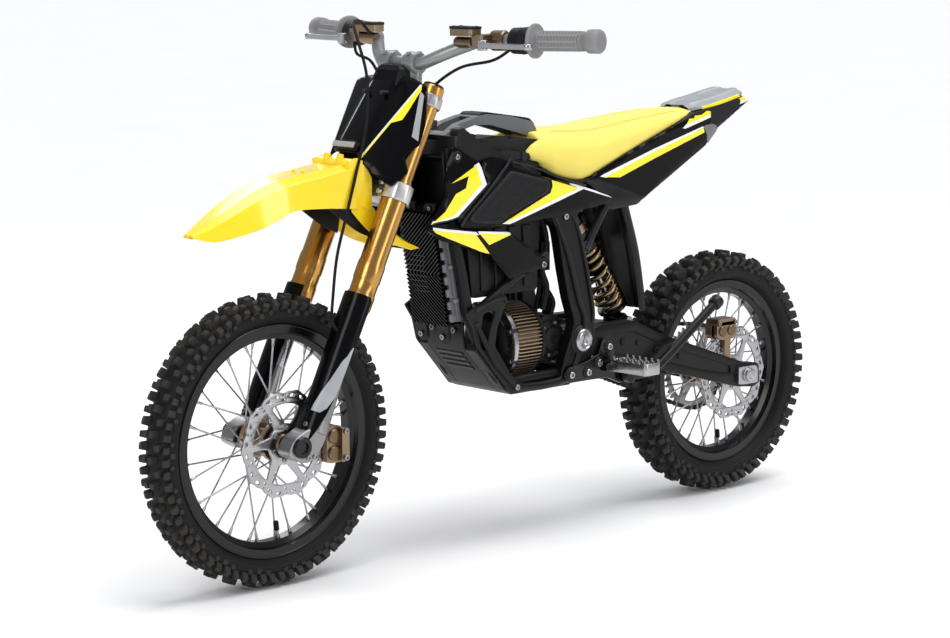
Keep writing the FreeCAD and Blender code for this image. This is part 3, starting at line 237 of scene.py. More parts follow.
def square_to(axis):
    """Two unit vectors square to an axis and to each other."""
    along = Vector(axis).normalized()
    helper = Vector((0, 0, 1)) if abs(along.z) < 0.9 else Vector((0, 1, 0))
    first = along.cross(helper).normalized()
    return along, first, along.cross(first)


def smooth_line(points, per=6):
    """Even points on a smooth curve through the given ones."""
    known = [Vector(p) for p in points]
    ends = [2 * known[0] - known[1]] + known + [2 * known[-1] - known[-2]]
    line = []
    for i in range(1, len(ends) - 2):
        a, b, c, d = ends[i - 1:i + 3]
        for step in range(per):
            t = step / per
            line.append(0.5 * (2 * b + (c - a) * t + (2 * a - 5 * b + 4 * c - d) * t * t
                               + (3 * b - a - 3 * c + d) * t ** 3))
    return line + [known[-1]]


def rounded(outline, radius, steps=4):
    """Outline with each corner turned into a short curve."""
    made = []
    count = len(outline)
    for i in range(count):
        before, corner, after = (Vector(outline[(i + k) % count]) for k in (-1, 0, 1))
        reach_in = min(radius, 0.45 * (before - corner).length)
        reach_out = min(radius, 0.45 * (after - corner).length)
        start = corner + (before - corner).normalized() * reach_in
        end = corner + (after - corner).normalized() * reach_out
        for step in range(steps + 1):
            t = step / steps
            made.append(tuple(start * (1 - t) ** 2 + corner * 2 * t * (1 - t) + end * t * t))
    return made


def ring_of(radius, count, start=0.0, sweep=360.0):
    """Points on a circle or, with a smaller sweep, on an arc."""
    steps = count if sweep >= 360 else count - 1
    made = []
    for i in range(count):
        angle = math.radians(start + sweep * i / steps)
        made.append((radius * math.cos(angle), radius * math.sin(angle)))
    return made


class Shape:
    """A mesh being built, in millimetres. What is added takes the current paint, a material number."""

    def __init__(self, place=None):
        self.place = place or Matrix.Identity(4)
        self.verts = []
        self.faces = []
        self.paints = []
        self.paint = 0

    def add(self, verts, faces):
        base = len(self.verts)
        self.verts.extend(self.place @ Vector(v) for v in verts)
        self.faces.extend([base + i for i in face] for face in faces)
        self.paints.extend([self.paint] * len(faces))

    def skin(self, rings, round_ring=True, ends=True):
        """Faces between rows of points; a round ring joins its last point to its first."""
        count = len(rings[0])
        faces = []
        for row in range(len(rings) - 1):
            for i in range(count if round_ring else count - 1):
                j = (i + 1) % count
                a = row * count
                faces.append([a + i, a + j, a + count + j, a + count + i])
        if ends:
            last = (len(rings) - 1) * count
            faces.append(list(range(count))[::-1])
            faces.append([last + i for i in range(count)])
        self.add([p for ring in rings for p in ring], faces)

    def lathe(self, profile, centre=(0, 0, 0), axis=(1, 0, 0), steps=48, loop=False):
        """Profile of (distance along the axis, radius) turned about the axis."""
        along, first, second = square_to(axis)
        rings = []
        for reach, radius in profile:
            base = Vector(centre) + along * reach
            ring = [base + first * u + second * v for u, v in ring_of(radius, steps)]
            rings.append(ring)
        if loop:
            rings.append(rings[0])
        self.skin(rings, ends=not loop)

    def rod(self, start, end, radius, steps=20, chamfer=0.0):
        run = Vector(end) - Vector(start)
        length = run.length
        if chamfer:
            small = radius - chamfer
            profile = [(0, small), (chamfer, radius), (length - chamfer, radius), (length, small)]
        else:
            profile = [(0, radius), (length, radius)]
        self.lathe(profile, start, run, steps)

    def tube(self, points, radius, steps=12):
        """Round tube along a line of points; radius may be a list."""
        line = [Vector(p) for p in points]
        radii = radius if isinstance(radius, (list, tuple)) else [radius] * len(line)
        tangent = (line[1] - line[0]).normalized()
        _, first, _ = square_to(tangent)
        rings = []
        for i, point in enumerate(line):
            ahead = line[min(i + 1, len(line) - 1)]
            behind = line[max(i - 1, 0)]
            now = (ahead - behind).normalized()
            first = (first - now * first.dot(now)).normalized()
            second = now.cross(first)
            rings.append([point + first * u + second * v for u, v in ring_of(radii[i], steps)])
        self.skin(rings)

    def prism(self, outline, low, high, across="x"):
        """Outline given thickness along x, y or z."""
        def at(u, v, w):
            return {"x": (w, u, v), "y": (u, w, v), "z": (u, v, w)}[across]
        count = len(outline)
        verts = [at(u, v, low) for u, v in outline] + [at(u, v, high) for u, v in outline]
        faces = [list(range(count)), [count + i for i in reversed(range(count))]]
        for i in range(count):
            j = (i + 1) % count
            faces.append([i, count + i, count + j, j])
        self.add(verts, faces)

    def box(self, low, high):
        self.prism([(low[1], low[2]), (high[1], low[2]), (high[1], high[2]), (low[1], high[2])], low[0],
                   high[0])

    def ball(self, centre, radius, steps=14):
        profile = []
        for i in range(steps // 2 + 1):
            angle = math.pi * i / (steps // 2)
            profile.append((-radius * math.cos(angle), radius * math.sin(angle)))
        self.lathe(profile, centre, (0, 0, 1), steps)

    def plate(self, loops, low, high, across="x", edge=0.4):
        """Flat plate with holes: the first loop is the outside, the rest are openings."""
        curve = bpy.data.curves.new("loops", "CURVE")
        curve.dimensions = "2D"
        curve.fill_mode = "BOTH"
        curve.bevel_depth = edge
        curve.offset = -edge
        curve.bevel_resolution = 1
        curve.extrude = (high - low) / 2 - edge
        for loop in loops:
            spline = curve.splines.new("POLY")
            spline.points.add(len(loop) - 1)
            for point, (u, v) in zip(spline.points, loop):
                point.co = (u, v, 0, 1)
            spline.use_cyclic_u = True
        holder = bpy.data.objects.new("loops", curve)
        flat = bpy.data.meshes.new_from_object(holder)
        centre = (low + high) / 2
        order = {"x": (2, 0, 1), "y": (0, 2, 1), "z": (0, 1, 2)}[across]
        verts = []
        for v in flat.vertices:
            parts = (v.co.x, v.co.y, v.co.z + centre)
            verts.append(tuple(parts[k] for k in order))
        self.add(verts, [list(p.vertices) for p in flat.polygons])
        bpy.data.objects.remove(holder)
        bpy.data.curves.remove(curve)
        bpy.data.meshes.remove(flat)

    def bolt(self, centre, axis, radius=6.0, height=4.0):
        """Cap screw with a hexagon socket, its base at centre."""
        along, first, second = square_to(axis)
        base = Vector(centre)
        chamfer = 0.12 * radius
        rings = []
        for reach, r in ((0, radius), (height - chamfer, radius), (height, radius - chamfer)):
            rings.append([base + along * reach + first * u + second * v for u, v in ring_of(r, 18)])
        for reach, r in ((height, 0.56 * radius), (height * 0.4, 0.5 * radius)):
            rings.append([base + along * reach + first * u + second * v for u, v in hex_as_18(r)])
        self.skin(rings)

    def both_sides(self):
        """Adds the mirror image across the middle of the bike."""
        base = len(self.verts)
        self.verts.extend([Vector((-v.x, v.y, v.z)) for v in self.verts])
        self.faces.extend([[base + i for i in reversed(face)] for face in list(self.faces)])
        self.paints.extend(list(self.paints))
        return self


def hex_as_18(radius):
    """Eighteen points on a hexagon, in step with an eighteen-point circle."""
    made = []
    for i in range(18):
        angle = math.radians(20 * i)
        from_flat = (angle + math.pi / 6) % (math.pi / 3) - math.pi / 6
        reach = radius * math.cos(math.pi / 6) / math.cos(from_flat)
        made.append((reach * math.cos(angle), reach * math.sin(angle)))
    return made


def piece(name, shape, body, finishes, bevel=0.0, sharp=38.0, subdivide=0, stands_for=(), segments=2):
    """Turns a shape into an object that rides on a CAD body."""
    data = bpy.data.meshes.new(name)
    data.from_pydata([v * MM for v in shape.verts], [], shape.faces)
    data.polygons.foreach_set("material_index", shape.paints)
    for key in finishes:
        data.materials.append(FINISH[key])
    work = bmesh.new()
    work.from_mesh(data)
    bmesh.ops.remove_doubles(work, verts=work.verts, dist=2e-6)
    bmesh.ops.recalc_face_normals(work, faces=work.faces)
    work.to_mesh(data)
    work.free()
    data.shade_smooth()
    made = bpy.data.objects.new(name, data)
    bpy.context.scene.collection.objects.link(made)
    if subdivide:
        levels = made.modifiers.new("rounding", "SUBSURF")
        levels.levels = levels.render_levels = subdivide
    if bevel:
        edges = made.modifiers.new("edges", "BEVEL")
        edges.width = bevel * MM
        edges.segments = segments
        edges.limit_method = "ANGLE"
        edges.angle_limit = math.radians(32)
        edges.harden_normals = True
    else:
        data.set_sharp_from_angle(angle=math.radians(sharp))
    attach(made, body)
    if stands_for:
        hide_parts(*stands_for)
    return made


def distance_to(outline, u, v):
    """Distance from a point to the nearest side of an outline."""
    best = 1e9
    for i in range(len(outline)):
        au, av = outline[i]
        bu, bv = outline[(i + 1) % len(outline)]
        du, dv = bu - au, bv - av
        size = du * du + dv * dv
        t = max(0.0, min(1.0, ((u - au) * du + (v - av) * dv) / size)) if size else 0.0
        best = min(best, math.hypot(u - au - du * t, v - av - dv * t))
    return best


def inside(outline, u, v):
    found = False
    for i in range(len(outline)):
        au, av = outline[i]
        bu, bv = outline[(i + 1) % len(outline)]
        if (av > v) != (bv > v) and u < (bu - au) * (v - av) / (bv - av) + au:
            found = not found
    return found


def sheet(outline, surface, thickness, decals=(), step=9.0, roll=2.4, corner=6.0):
    """Moulded sheet: the outline lies on a curved surface, with rolled edges and painted areas.

    surface(u, v, depth) gives the point at that depth below the outer face.
    Each decal is (outline, paint number); a later one covers an earlier one.
    """
    soft = rounded(outline, corner) if corner else list(outline)
    work = bmesh.new()
    loop = [work.verts.new((u, v, 0)) for u, v in soft]
    work.faces.new(loop)
    for reach in (0.25, 0.45, 0.7, 1.0):
        widest = max(work.faces, key=lambda f: f.calc_area())
        bmesh.ops.inset_region(work, faces=[widest], thickness=reach * roll * 0.42)

    def cut(point, normal):
        everything = work.verts[:] + work.edges[:] + work.faces[:]
        bmesh.ops.bisect_plane(work, geom=everything, plane_co=point, plane_no=normal, dist=1e-5)

    for axis in (0, 1):
        low = min(p[axis] for p in soft)
        high = max(p[axis] for p in soft)
        at = math.ceil(low / step) * step
        while at < high:
            cut((at, 0, 0) if axis == 0 else (0, at, 0), (1, 0, 0) if axis == 0 else (0, 1, 0))
            at += step
    for area, _ in decals:
        for i in range(len(area)):
            au, av = area[i]
            bu, bv = area[(i + 1) % len(area)]
            cut((au, av, 0), (bv - av, au - bu, 0))
    work.verts.index_update()
    work.normal_update()
    flat = [(v.co.x, v.co.y) for v in work.verts]
    tops = []
    lows = []
    for u, v in flat:
        gap = min(distance_to(soft, u, v), roll)
        drop = roll - math.sqrt(max(0.0, roll * roll - (roll - gap) ** 2))
        tops.append(surface(u, v, drop))
        lows.append(surface(u, v, max(thickness, drop + 0.3)))
    shape = Shape()
    for face in work.faces:
        centre = face.calc_center_median()
        shape.paint = 0
        for area, paint in decals:
            if inside(area, centre.x, centre.y):
                shape.paint = paint
        ids = [v.index for v in face.verts]
        shape.faces.append(ids)
        shape.paints.append(shape.paint)
        shape.faces.append([len(flat) + i for i in reversed(ids)])
        shape.paints.append(0)
    for edge in work.edges:
        if len(edge.link_faces) == 1:
            a, b = (v.index for v in edge.verts)
            shape.faces.append([a, b, len(flat) + b, len(flat) + a])
            shape.paints.append(0)
    shape.verts = [Vector(p) for p in tops + lows]
    shape.paint = 0
    work.free()
    return shape


def repaint(finish_of):
    """Gives carried-over CAD nodes their finishes."""
    for node, key in finish_of.items():
        target = frame["nodes"][node]
        if not target.material_slots:
            target.data.materials.append(FINISH[key])
        for holder in target.material_slots:
            holder.material = FINISH[key]


# ---------------------------------------------------------------- tyres

def knob(shape, centre, turn, across, radial, tilt, size, height, twist=0.0):
    """One tread block on a wheel: turn is its place round the wheel, tilt its lean to the side."""
    out = Vector((0, math.cos(turn), math.sin(turn)))
    along = Vector((0, -math.sin(turn), math.cos(turn)))
    side = Vector((1, 0, 0))
    up = out * math.cos(tilt) + side * math.sin(tilt)
    wide = side * math.cos(tilt) - out * math.sin(tilt)
    base = centre + side * across + out * radial
    c, s = math.cos(twist), math.sin(twist)
    first = wide * c + along * s
    second = along * c - wide * s
    verts = []
    for level, share in ((-3.0, 1.1), (height, 0.84)):
        for u, v in ((-1, -1), (1, -1), (1, 1), (-1, 1)):
            across = first * (u * size[0] / 2 * share)
            beside = second * (v * size[1] / 2 * share)
            verts.append(base + up * level + across + beside)
    shape.add(verts, [[3, 2, 1, 0], [4, 5, 6, 7], [0, 1, 5, 4], [1, 2, 6, 5], [2, 3, 7, 6], [3, 0, 4, 7]])


def tyre(node, body, centre, width, flange, pitches, deep, accent):
    """Off-road tyre: a rounded carcass with centre, middle, shoulder and side-wall blocks."""
    radius = centre.z
    half = width / 2 - 2.0
    base = radius - deep
    wall = flange + 0.45 * (base - flange)
    outer = [
        (18.8, flange - 9), (20.0, flange + 1.5), (half * 0.80, flange + 6), (half * 0.93, flange + 12),
        (half * 0.97, wall), (half * 0.93, base - 16), (half * 0.80, base - 8), (half * 0.55, base - 3),
        (half * 0.28, base - 0.6), (0.0, base),
    ]
    inner = [(0.0, base - 8), (half * 0.55, base - 12), (half * 0.78, base - 22), (half * 0.80, wall),
             (half * 0.6, flange + 10), (12.0, flange + 2), (12.0, flange - 9)]
    section = outer + [(-a, r) for a, r in reversed(outer[:-1])]
    section += [(-a, r) for a, r in reversed(inner)] + inner[1:]
    carcass = Shape()
    carcass.lathe(section, centre, (1, 0, 0), 120, loop=True)
    for side in (1, -1):
        for lift in (14.0, 20.0):
            ridge = [(side * (half * 0.94 - 0.6), flange + lift),
                     (side * (half * 0.96 + 0.7), flange + lift + 0.8),
                     (side * (half * 0.94 - 0.6), flange + lift + 1.6)]
            carcass.lathe(ridge, centre, (1, 0, 0), 96, loop=True)
    piece(node + "_carcass", carcass, body, ["tyre_rubber"], sharp=50, stands_for=(node,))

    blocks = Shape()
    pitch = 2 * math.pi / pitches
    arc = pitch * base
    for i in range(pitches):
        turn = i * pitch
        for side in (1, -1):
            jitter = rng.uniform(-0.4, 0.4)
            knob(blocks, centre, turn, side * (half * 0.23), base - 0.5, side * 0.05,
                 (half * 0.36, arc * 0.30), deep + 0.3, side * 0.12)
            knob(blocks, centre, turn + pitch / 2, side * (half * 0.56), base - 3.4, side * 0.30,
                 (half * 0.34, arc * 0.30), deep + 0.4, side * -0.15)
            for phase, reach in ((0.08, 1.0), (0.58, 0.82)):
                knob(blocks, centre, turn + phase * pitch, side * (half * 0.86), base - 9.0, side * 0.80,
                     (half * 0.36 * reach, arc * 0.29 + jitter), deep * 1.02)
            knob(blocks, centre, turn + 0.33 * pitch, side * (half * 0.95), base - 17.0, side * 1.35,
                 (8.0, 8.0), 3.2, math.pi / 4)
            if i % 2:
                knob(blocks, centre, turn + 0.83 * pitch, side * (half * 0.96), base - 19.0, side * 1.42,
                     (10.0, arc * 0.26), 2.0)
    piece(node + "_knobs", blocks, body, ["tyre_rubber"], bevel=0.9, segments=1)
    if accent:
        marks = Shape()
        for i in range(pitches):
            for side in (1, -1):
                knob(marks, centre, (i + 0.33) * pitch, side * (half * 0.70), base - 5.4, side * 0.5,
                     (1.2, arc * 0.24), 0.9, 0.35)
        piece(node + "_dashes", marks, body, [accent])


# ---------------------------------------------------------------- wheels

def wheel_fittings(end, body, centre, flange):
    """Spoke nipples, the valve and the rim's bead edge."""
    nipples = Shape()
    seat = flange - 25.0
    for side in (1, -1):
        for index in range(8):
            for lean, lateral in ((1, 28.0), (-1, 24.0)):
                at_hub = 360.0 * (index + 0.25 * (side + 1)) / 8
                at_rim = math.radians(at_hub + lean * 38)
                hub_angle = math.radians(at_hub)
                start = centre + Vector((side * lateral, 34.2 * math.cos(hub_angle),
                                         34.2 * math.sin(hub_angle)))
                end_at = centre + Vector((side * (3.0 if lean > 0 else 6.0), seat * math.cos(at_rim),
                                          seat * math.sin(at_rim)))
                back = (start - end_at).normalized()
                nipples.lathe([(-2.0, 3.2), (3.0, 3.2), (3.6, 2.6), (12.0, 2.3), (13.0, 1.7)], end_at,
                              back, 10)
                nipples.ball(start, 2.4, 8)
    piece(end + "_nipples", nipples, body, ["silver"])
    valve = Shape()
    angle = math.radians(-83)
    out = Vector((0, math.cos(angle), math.sin(angle)))
    root = centre + out * (flange - 25.0)
    valve.lathe([(-1, 4.2), (3, 4.2), (4, 3.0), (12, 3.0)], root, -out, 14)
    valve.paint = 1
    valve.lathe([(11, 3.4), (12, 4.6), (25, 4.6), (27, 3.6)], root, -out, 12)
    piece(end + "_valve", valve, body, ["steel", "rubber"])
    strip = Shape()
    for side in (1, -1):
        strip.lathe([(side * 22.6, flange + 1.8), (side * 23.6, flange + 0.6), (side * 23.6, flange - 1.4),
                     (side * 22.6, flange - 2.6)], centre, (1, 0, 0), 120, loop=True)
    piece(end + "_rim_edge", strip, body, ["black_alloy"])


def wave_disc(node, body, centre, offset, thickness):
    """Scalloped brake rotor with slots, small holes and curved arms to the hub."""
    lobes = 10
    outside = []
    for i in range(200):
        angle = 2 * math.pi * i / 200
        reach = 86.6 + 3.0 * math.cos(lobes * angle) ** 3 + 0.3 * math.cos(lobes * angle)
        outside.append((reach * math.cos(angle), reach * math.sin(angle)))

    def slot(radius, angle, length, wide, lean):
        made = []
        for u, v in ring_of(1.0, 14):
            a, b = u * length / 2, v * wide / 2
            c, s = math.cos(angle + lean), math.sin(angle + lean)
            made.append((radius * math.cos(angle) + a * c - b * s,
                         radius * math.sin(angle) + a * s + b * c))
        return made

    loops = [outside, ring_of(20.5, 40)]
    for i in range(lobes):
        angle = 2 * math.pi * i / lobes
        loops.append(slot(80.0, angle - 0.12, 10.0, 5.4, math.pi / 2 - 0.35))
        loops.append(slot(80.0, angle + 0.13, 10.0, 5.4, math.pi / 2 + 0.35))
        loops.append(slot(72.5, angle + 0.30, 4.6, 4.6, 0))
        loops.append(slot(80.4, angle + 0.31, 3.6, 3.6, 0))
    arms = 6
    for i in range(arms):
        start = 360.0 * i / arms
        window = []
        for radius, low, high in ((66.5, 4.0, 54.5), (50.0, 52.0, 44.0), (34.0, 36.0, 10.0)):
            if radius == 50.0:
                window.append((radius, start + 49.0))
                continue
            for step in range(9):
                window.append((radius, start + low + (high - low) * step / 8))
        window.append((50.0, start + 3.0))
        loops.append(rounded([(r * math.cos(math.radians(a)), r * math.sin(math.radians(a))) for r,
                              a in window],
                             2.0, 2))
    rotor = Shape(Matrix.Translation(centre))
    rotor.plate(loops, offset, offset + thickness, "x", 0.35)
    piece(node + "_rotor", rotor, body, ["silver"], sharp=30, stands_for=(node,))
    bolts = Shape()
    for i in range(arms):
        angle = math.radians(360.0 * i / arms + 24)
        at = centre + Vector((offset + thickness, 25.5 * math.cos(angle), 25.5 * math.sin(angle)))
        bolts.bolt(at, (1, 0, 0), 4.2, 2.6)
    piece(node + "_bolts", bolts, body, ["steel"])


def toothed_ring(node, body, centre, teeth, line, thickness, bore, lift):
    """Rear sprocket with pointed teeth and open windows."""
    pitch_radius = 12.7 / (2 * math.sin(math.pi / teeth))
    outside = []
    for i in range(teeth):
        for share, reach in ((0.0, -4.2), (0.22, -2.6), (0.36, 1.2), (0.46, lift), (0.54, lift),
                             (0.64, 1.2), (0.78, -2.6)):
            angle = 2 * math.pi * (i + share) / teeth
            outside.append(((pitch_radius + reach) * math.cos(angle),
                            (pitch_radius + reach) * math.sin(angle)))
    loops = [outside, ring_of(bore, 36)]
    for i in range(6):
        start = 60.0 * i
        window = [(68.0, start + 6 + 6 * k) for k in range(9)] + [(40.0,
                                                                   start + 44 - 7 * k) for k in range(5)]
        loops.append(rounded([(r * math.cos(math.radians(a)), r * math.sin(math.radians(a))) for r,
                              a in window],
                             3.0, 2))
        angle = math.radians(start)
        loops.append([(54 * math.cos(angle) + u, 54 * math.sin(angle) + v) for u, v in ring_of(3.2, 12)])
    ring = Shape(Matrix.Translation(centre))
    ring.plate(loops, -line - thickness / 2, -line + thickness / 2, "x", 0.5)
    piece(node + "_ring", ring, body, ["steel"], sharp=30, stands_for=(node,))
    bolts = Shape()
    for i in range(6):
        angle = math.radians(60 * i + 2)
        at = centre + Vector((-line - thickness / 2, 33 * math.cos(angle), 33 * math.sin(angle)))
        bolts.bolt(at, (-1, 0, 0), 4.6, 3.0)
    piece(node + "_bolts", bolts, body, ["steel"])


# ---------------------------------------------------------------- chain

CHAIN_LINE = 48.5
PITCH = 12.7
TEETH_REAR = 40
TEETH_DRIVE = 11


def chain_points():
    """Centre of every chain pin, in order round both sprockets."""
    r_rear = PITCH / (2 * math.sin(math.pi / TEETH_REAR))
    r_drive = PITCH / (2 * math.sin(math.pi / TEETH_DRIVE))
    run = REAR - DRIVE
    distance = math.hypot(run.y, run.z)
    lean = math.asin((r_rear - r_drive) / distance)
    base = math.atan2(run.z, run.y)
    top, low = base + math.pi / 2 + lean, base - math.pi / 2 - lean
    span = math.sqrt(distance ** 2 - (r_rear - r_drive) ** 2) / PITCH
    wrap_rear = TEETH_REAR * (math.pi + 2 * lean) / (2 * math.pi)
    wrap_drive = TEETH_DRIVE * (math.pi - 2 * lean) / (2 * math.pi)
    count = round(2 * span + wrap_rear + wrap_drive)

    def on(centre, radius, angle):
        return Vector((-CHAIN_LINE, centre.y + radius * math.cos(angle),
                       centre.z + radius * math.sin(angle)))

    made = []
    for link in range(count):
        if link <= span:
            made.append(on(DRIVE, r_drive, top).lerp(on(REAR, r_rear, top), link / span))
        elif link <= span + wrap_rear:
            made.append(on(REAR, r_rear, top - 2 * math.pi * (link - span) / TEETH_REAR))
        elif link <= 2 * span + wrap_rear:
            share = (link - span - wrap_rear) / span
            made.append(on(REAR, r_rear, low).lerp(on(DRIVE, r_drive, low), share))
        else:
            made.append(on(DRIVE, r_drive, low - 2 * math.pi * (link - 2 * span - wrap_rear) / TEETH_DRIVE))
    return made


def chain():
    """Roller chain with waisted side plates, running between the frame and the rear arm."""
    shape = Shape()
    pins = chain_points()
    for i, pin in enumerate(pins):
        after = pins[(i + 1) % len(pins)]
        run = (after - pin).normalized()
        up = Vector((0, -run.z, run.y))
        half = (after - pin).length / 2
        plate = []
        for share, reach in ((-1.28, 0.0), (-1.2, 2.6), (-1, 3.9), (-0.6, 3.7), (0, 2.7), (0.6, 3.7),
                             (1, 3.9),
                             (1.2, 2.6), (1.28, 0.0), (1.2, -2.6), (1, -3.9), (0.6, -3.7), (0, -2.7),
                             (-0.6, -3.7), (-1, -3.9), (-1.2, -2.6)):
            plate.append((pin + after) / 2 + run * (share * half) + up * reach)
        for side in (1, -1):
            start = side * (4.9 if i % 2 else 3.2)
            stop = side * (6.2 if i % 2 else 4.6)
            rings = [[p + Vector((x, 0, 0)) for p in plate] for x in (start, stop)]
            shape.skin(rings)
        shape.rod(pin - Vector((6.6, 0, 0)), pin + Vector((6.6, 0, 0)), 2.0, 8)
        shape.rod(pin - Vector((3.1, 0, 0)), pin + Vector((3.1, 0, 0)), 3.8, 10)
    made = piece("chain_links", shape, "rear_arm", ["black_steel"], stands_for=("drive_chain",))
    made.parent = None
    del made["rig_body"]
    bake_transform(made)


# ---------------------------------------------------------------- fork

def fork_outer():
    """Gold upper tubes with stepped sleeves, and their adjuster caps."""
    tubes = Shape(FORK)
    upper, lower = 18.5, 21.75
    profile = [(-55.5, 20.0), (-55.5, 21.6), (-52, 22.9), (-30, 23.2), (-27, 22.0), (-8, 22.0), (-4, 23.2),
               (22, 23.0), (27, lower), (140, lower), (160, lower), (172, upper), (300, upper),
               (312, upper),
               (314, upper + 0.8), (336, upper + 0.8), (338, upper - 0.5)]
    for side in (1, -1):
        tubes.paint = 0
        tubes.lathe(profile, (side * LEG_X, 0, 0), (0, 0, 1), 56)
        tubes.paint = 1
        tubes.lathe([(330, 17.6), (340, 17.6), (341.5, 16.5), (342, 9), (343.5, 9), (343.8, 8)],
                    (side * LEG_X, 0, 0), (0, 0, 1), 40)
        tubes.lathe([(-60, 18.3), (-60, 21), (-54, 21.4), (-54, 18)], (side * LEG_X, 0, 0), (0, 0, 1), 40)
    piece("fork_upper_tubes", tubes, "steering", ["gold", "black_alloy"], sharp=28,
          stands_for=("fork_tubes",))
    rings = Shape(FORK)
    for side in (1, -1):
        rings.lathe([(-57.5, 17.2), (-57.5, 19.5), (-62, 19.5), (-62, 17.2)], (side * LEG_X, 0, 0),
                    (0, 0, 1), 36,
                    loop=True)
    piece("fork_dust_seals", rings, "steering", ["rubber"])


def guard_shell():
    """Black leg guards: a front shell over each leg that narrows to the axle foot."""
    shape = Shape(FORK)
    for side in (1, -1):
        rings = []
        steps = 26
        for up, outer_sweep, radius in ((-33, 88, 27.6), (-40, 96, 28.0), (-90, 96, 28.0), (-150, 92, 28.0),
                                        (-200, 84, 28.0), (-240, 72, 27.8), (-268, 58, 27.0),
                                        (-284, 46, 26.5)):
            ring = []
            for layer in (0.0, 2.6):
                for i in range(steps):
                    share = i / (steps - 1)
                    if layer:
                        share = 1 - share
                    turn = math.radians(-90 + (-53 + share * (53 + outer_sweep)) * side)
                    reach = radius - layer
                    ring.append((side * LEG_X + reach * math.cos(turn), reach * math.sin(turn), up))
            rings.append(ring)
        shape.paint = 0
        shape.skin(rings)
    piece("fork_leg_guards", shape, "fork_slider", ["gloss_black"], sharp=42, stands_for=("fork_guards",))
    label = Shape(FORK)
    for side in (1, -1):
        rings = []
        for up, start, stop in ((-120, 84, 88), (-150, 62, 88), (-180, 46, 86), (-205, 30, 82),
                                (-228, 18, 66),
                                (-238, 16, 48)):
            ring = []
            for reach in (28.35, 28.0):
                for i in range(12):
                    share = i / 11 if reach > 28.1 else 1 - i / 11
                    turn = math.radians(-90 + (start + (stop - start) * share) * side)
                    ring.append((side * LEG_X + reach * math.cos(turn), reach * math.sin(turn), up))
            rings.append(ring)
        label.skin(rings)
    piece("guard_stripes", label, "fork_slider", ["grey_print_and_painted_highlight"])


def axle_feet():
    """Cast feet with pinch bolts, and the recessed axle head."""
    feet = Shape(FORK)
    outline = [(-46, -322), (-14, -324), (2, -318), (12, -300), (16, -276), (14, -258), (-14, -262),
               (-30, -274), (-46, -296)]
    for side in (1, -1):
        low, high = sorted((side * 58.0, side * 91.0))
        feet.prism(rounded(outline, 9), low, high)
        feet.lathe([(0, 22.5), (20, 21.5), (90, 18.0), (96, 17.2)], (side * LEG_X, 0, -268), (0, 0, 1), 32)
    piece("fork_feet", feet, "fork_slider", ["zinc"], bevel=2.2, segments=3, stands_for=("fork_legs",))
    stanchions = Shape(FORK)
    for side in (1, -1):
        stanchions.lathe([(-180, 16.9), (98, 16.9), (99, 15)], (side * LEG_X, 0, 0), (0, 0, 1), 36)
    piece("fork_stanchions", stanchions, "fork_slider", ["silver"])
    details = Shape()
    for side in (1, -1):
        details.paint = 0
        details.lathe([(90, 17.5), (95.0, 17.5), (96.5, 16.0), (96.5, 10.0), (93.0, 9.0)],
                      (0, FRONT.y, FRONT.z), (side, 0, 0), 36)
        details.paint = 1
        spot = FORK @ Vector((side * 91, -6, -312))
        details.bolt(spot, (side, 0, 0), 4.5, 2.4)
        spot = FORK @ Vector((side * 91, 6, -306))
        details.bolt(spot, (side, 0, 0), 4.5, 2.4)
        for up in (-276, -262):
            spot = FORK @ Vector((side * 80, -24, up))
            details.bolt(spot, -FORK_BACK, 4.2, 4.0)
    piece("axle_details", details, "fork_slider", ["black_alloy", "steel"], stands_for=("front_axle",))




# ---------------------------------------------------------------- side bodywork

def flank(lift, widest=95.0):
    """Surface of a side panel that stands proud of the bodywork by a set lift.

    Outlines are drawn for a flank at the widest place. Where the flank is narrower they slide
    back by as much, so that an edge keeps its line when it is seen from the front quarter.
    """
    def at(u, v, depth):
        half = widest + lift
        half -= 15.0 * max(0.0, (u + 60) / 230) ** 1.5
        half -= 0.12 * max(0.0, v - 650)
        half -= 0.10 * max(0.0, 560 - v)
        half -= 0.20 * max(0.0, -230 - u)
        return (half - depth, u + 0.96 * (widest - half), v)
    return at


def shroud_panels():
    """Front shrouds with their yellow face and white border."""
    outline = [(-270, 577), (-242, 608), (-230, 628), (-232, 650), (-228, 676), (-216, 700), (-209, 705),
               (-196, 696), (-159, 679), (-148, 668), (-134, 637), (-170, 608), (-206, 583), (-242, 580)]
    white = [(-168, 670), (-157, 675), (-151, 667), (-138, 637), (-209, 584), (-265, 578), (-262, 583),
             (-214, 590), (-150, 640)]
    yellow = [(-219, 644), (-162, 671), (-150, 638), (-214, 589), (-260, 581), (-233, 598), (-209, 626),
              (-186, 634), (-180, 654)]
    panel = sheet(outline, flank(3.0), 5, [(white, 2), (yellow, 1)], step=12).both_sides()
    piece("shroud_panels", panel, "chassis", ["gloss_black", "decal_yellow", "decal_white"], sharp=30,
          stands_for=("shrouds",))
    caps = Shape()
    place = Vector(flank(3.0)(-206, 687, 0))
    caps.lathe([(-2, 9.5), (0.6, 9.5), (1.4, 8.6), (1.4, 7.4), (0.2, 7.0)], place, (1, 0, 0), 28)
    caps.paint = 1
    caps.bolt(place - Vector((1, 0, 0)), (1, 0, 0), 5.0, 3.4)
    piece("shroud_bolts", caps.both_sides(), "chassis", ["black_plastic", "steel"])


KNEE_PAD = [(-79, 657), (9, 634), (15, 626), (11, 614), (-86, 579), (-105, 568), (-162, 573), (-174, 579),
            (-174, 586)]


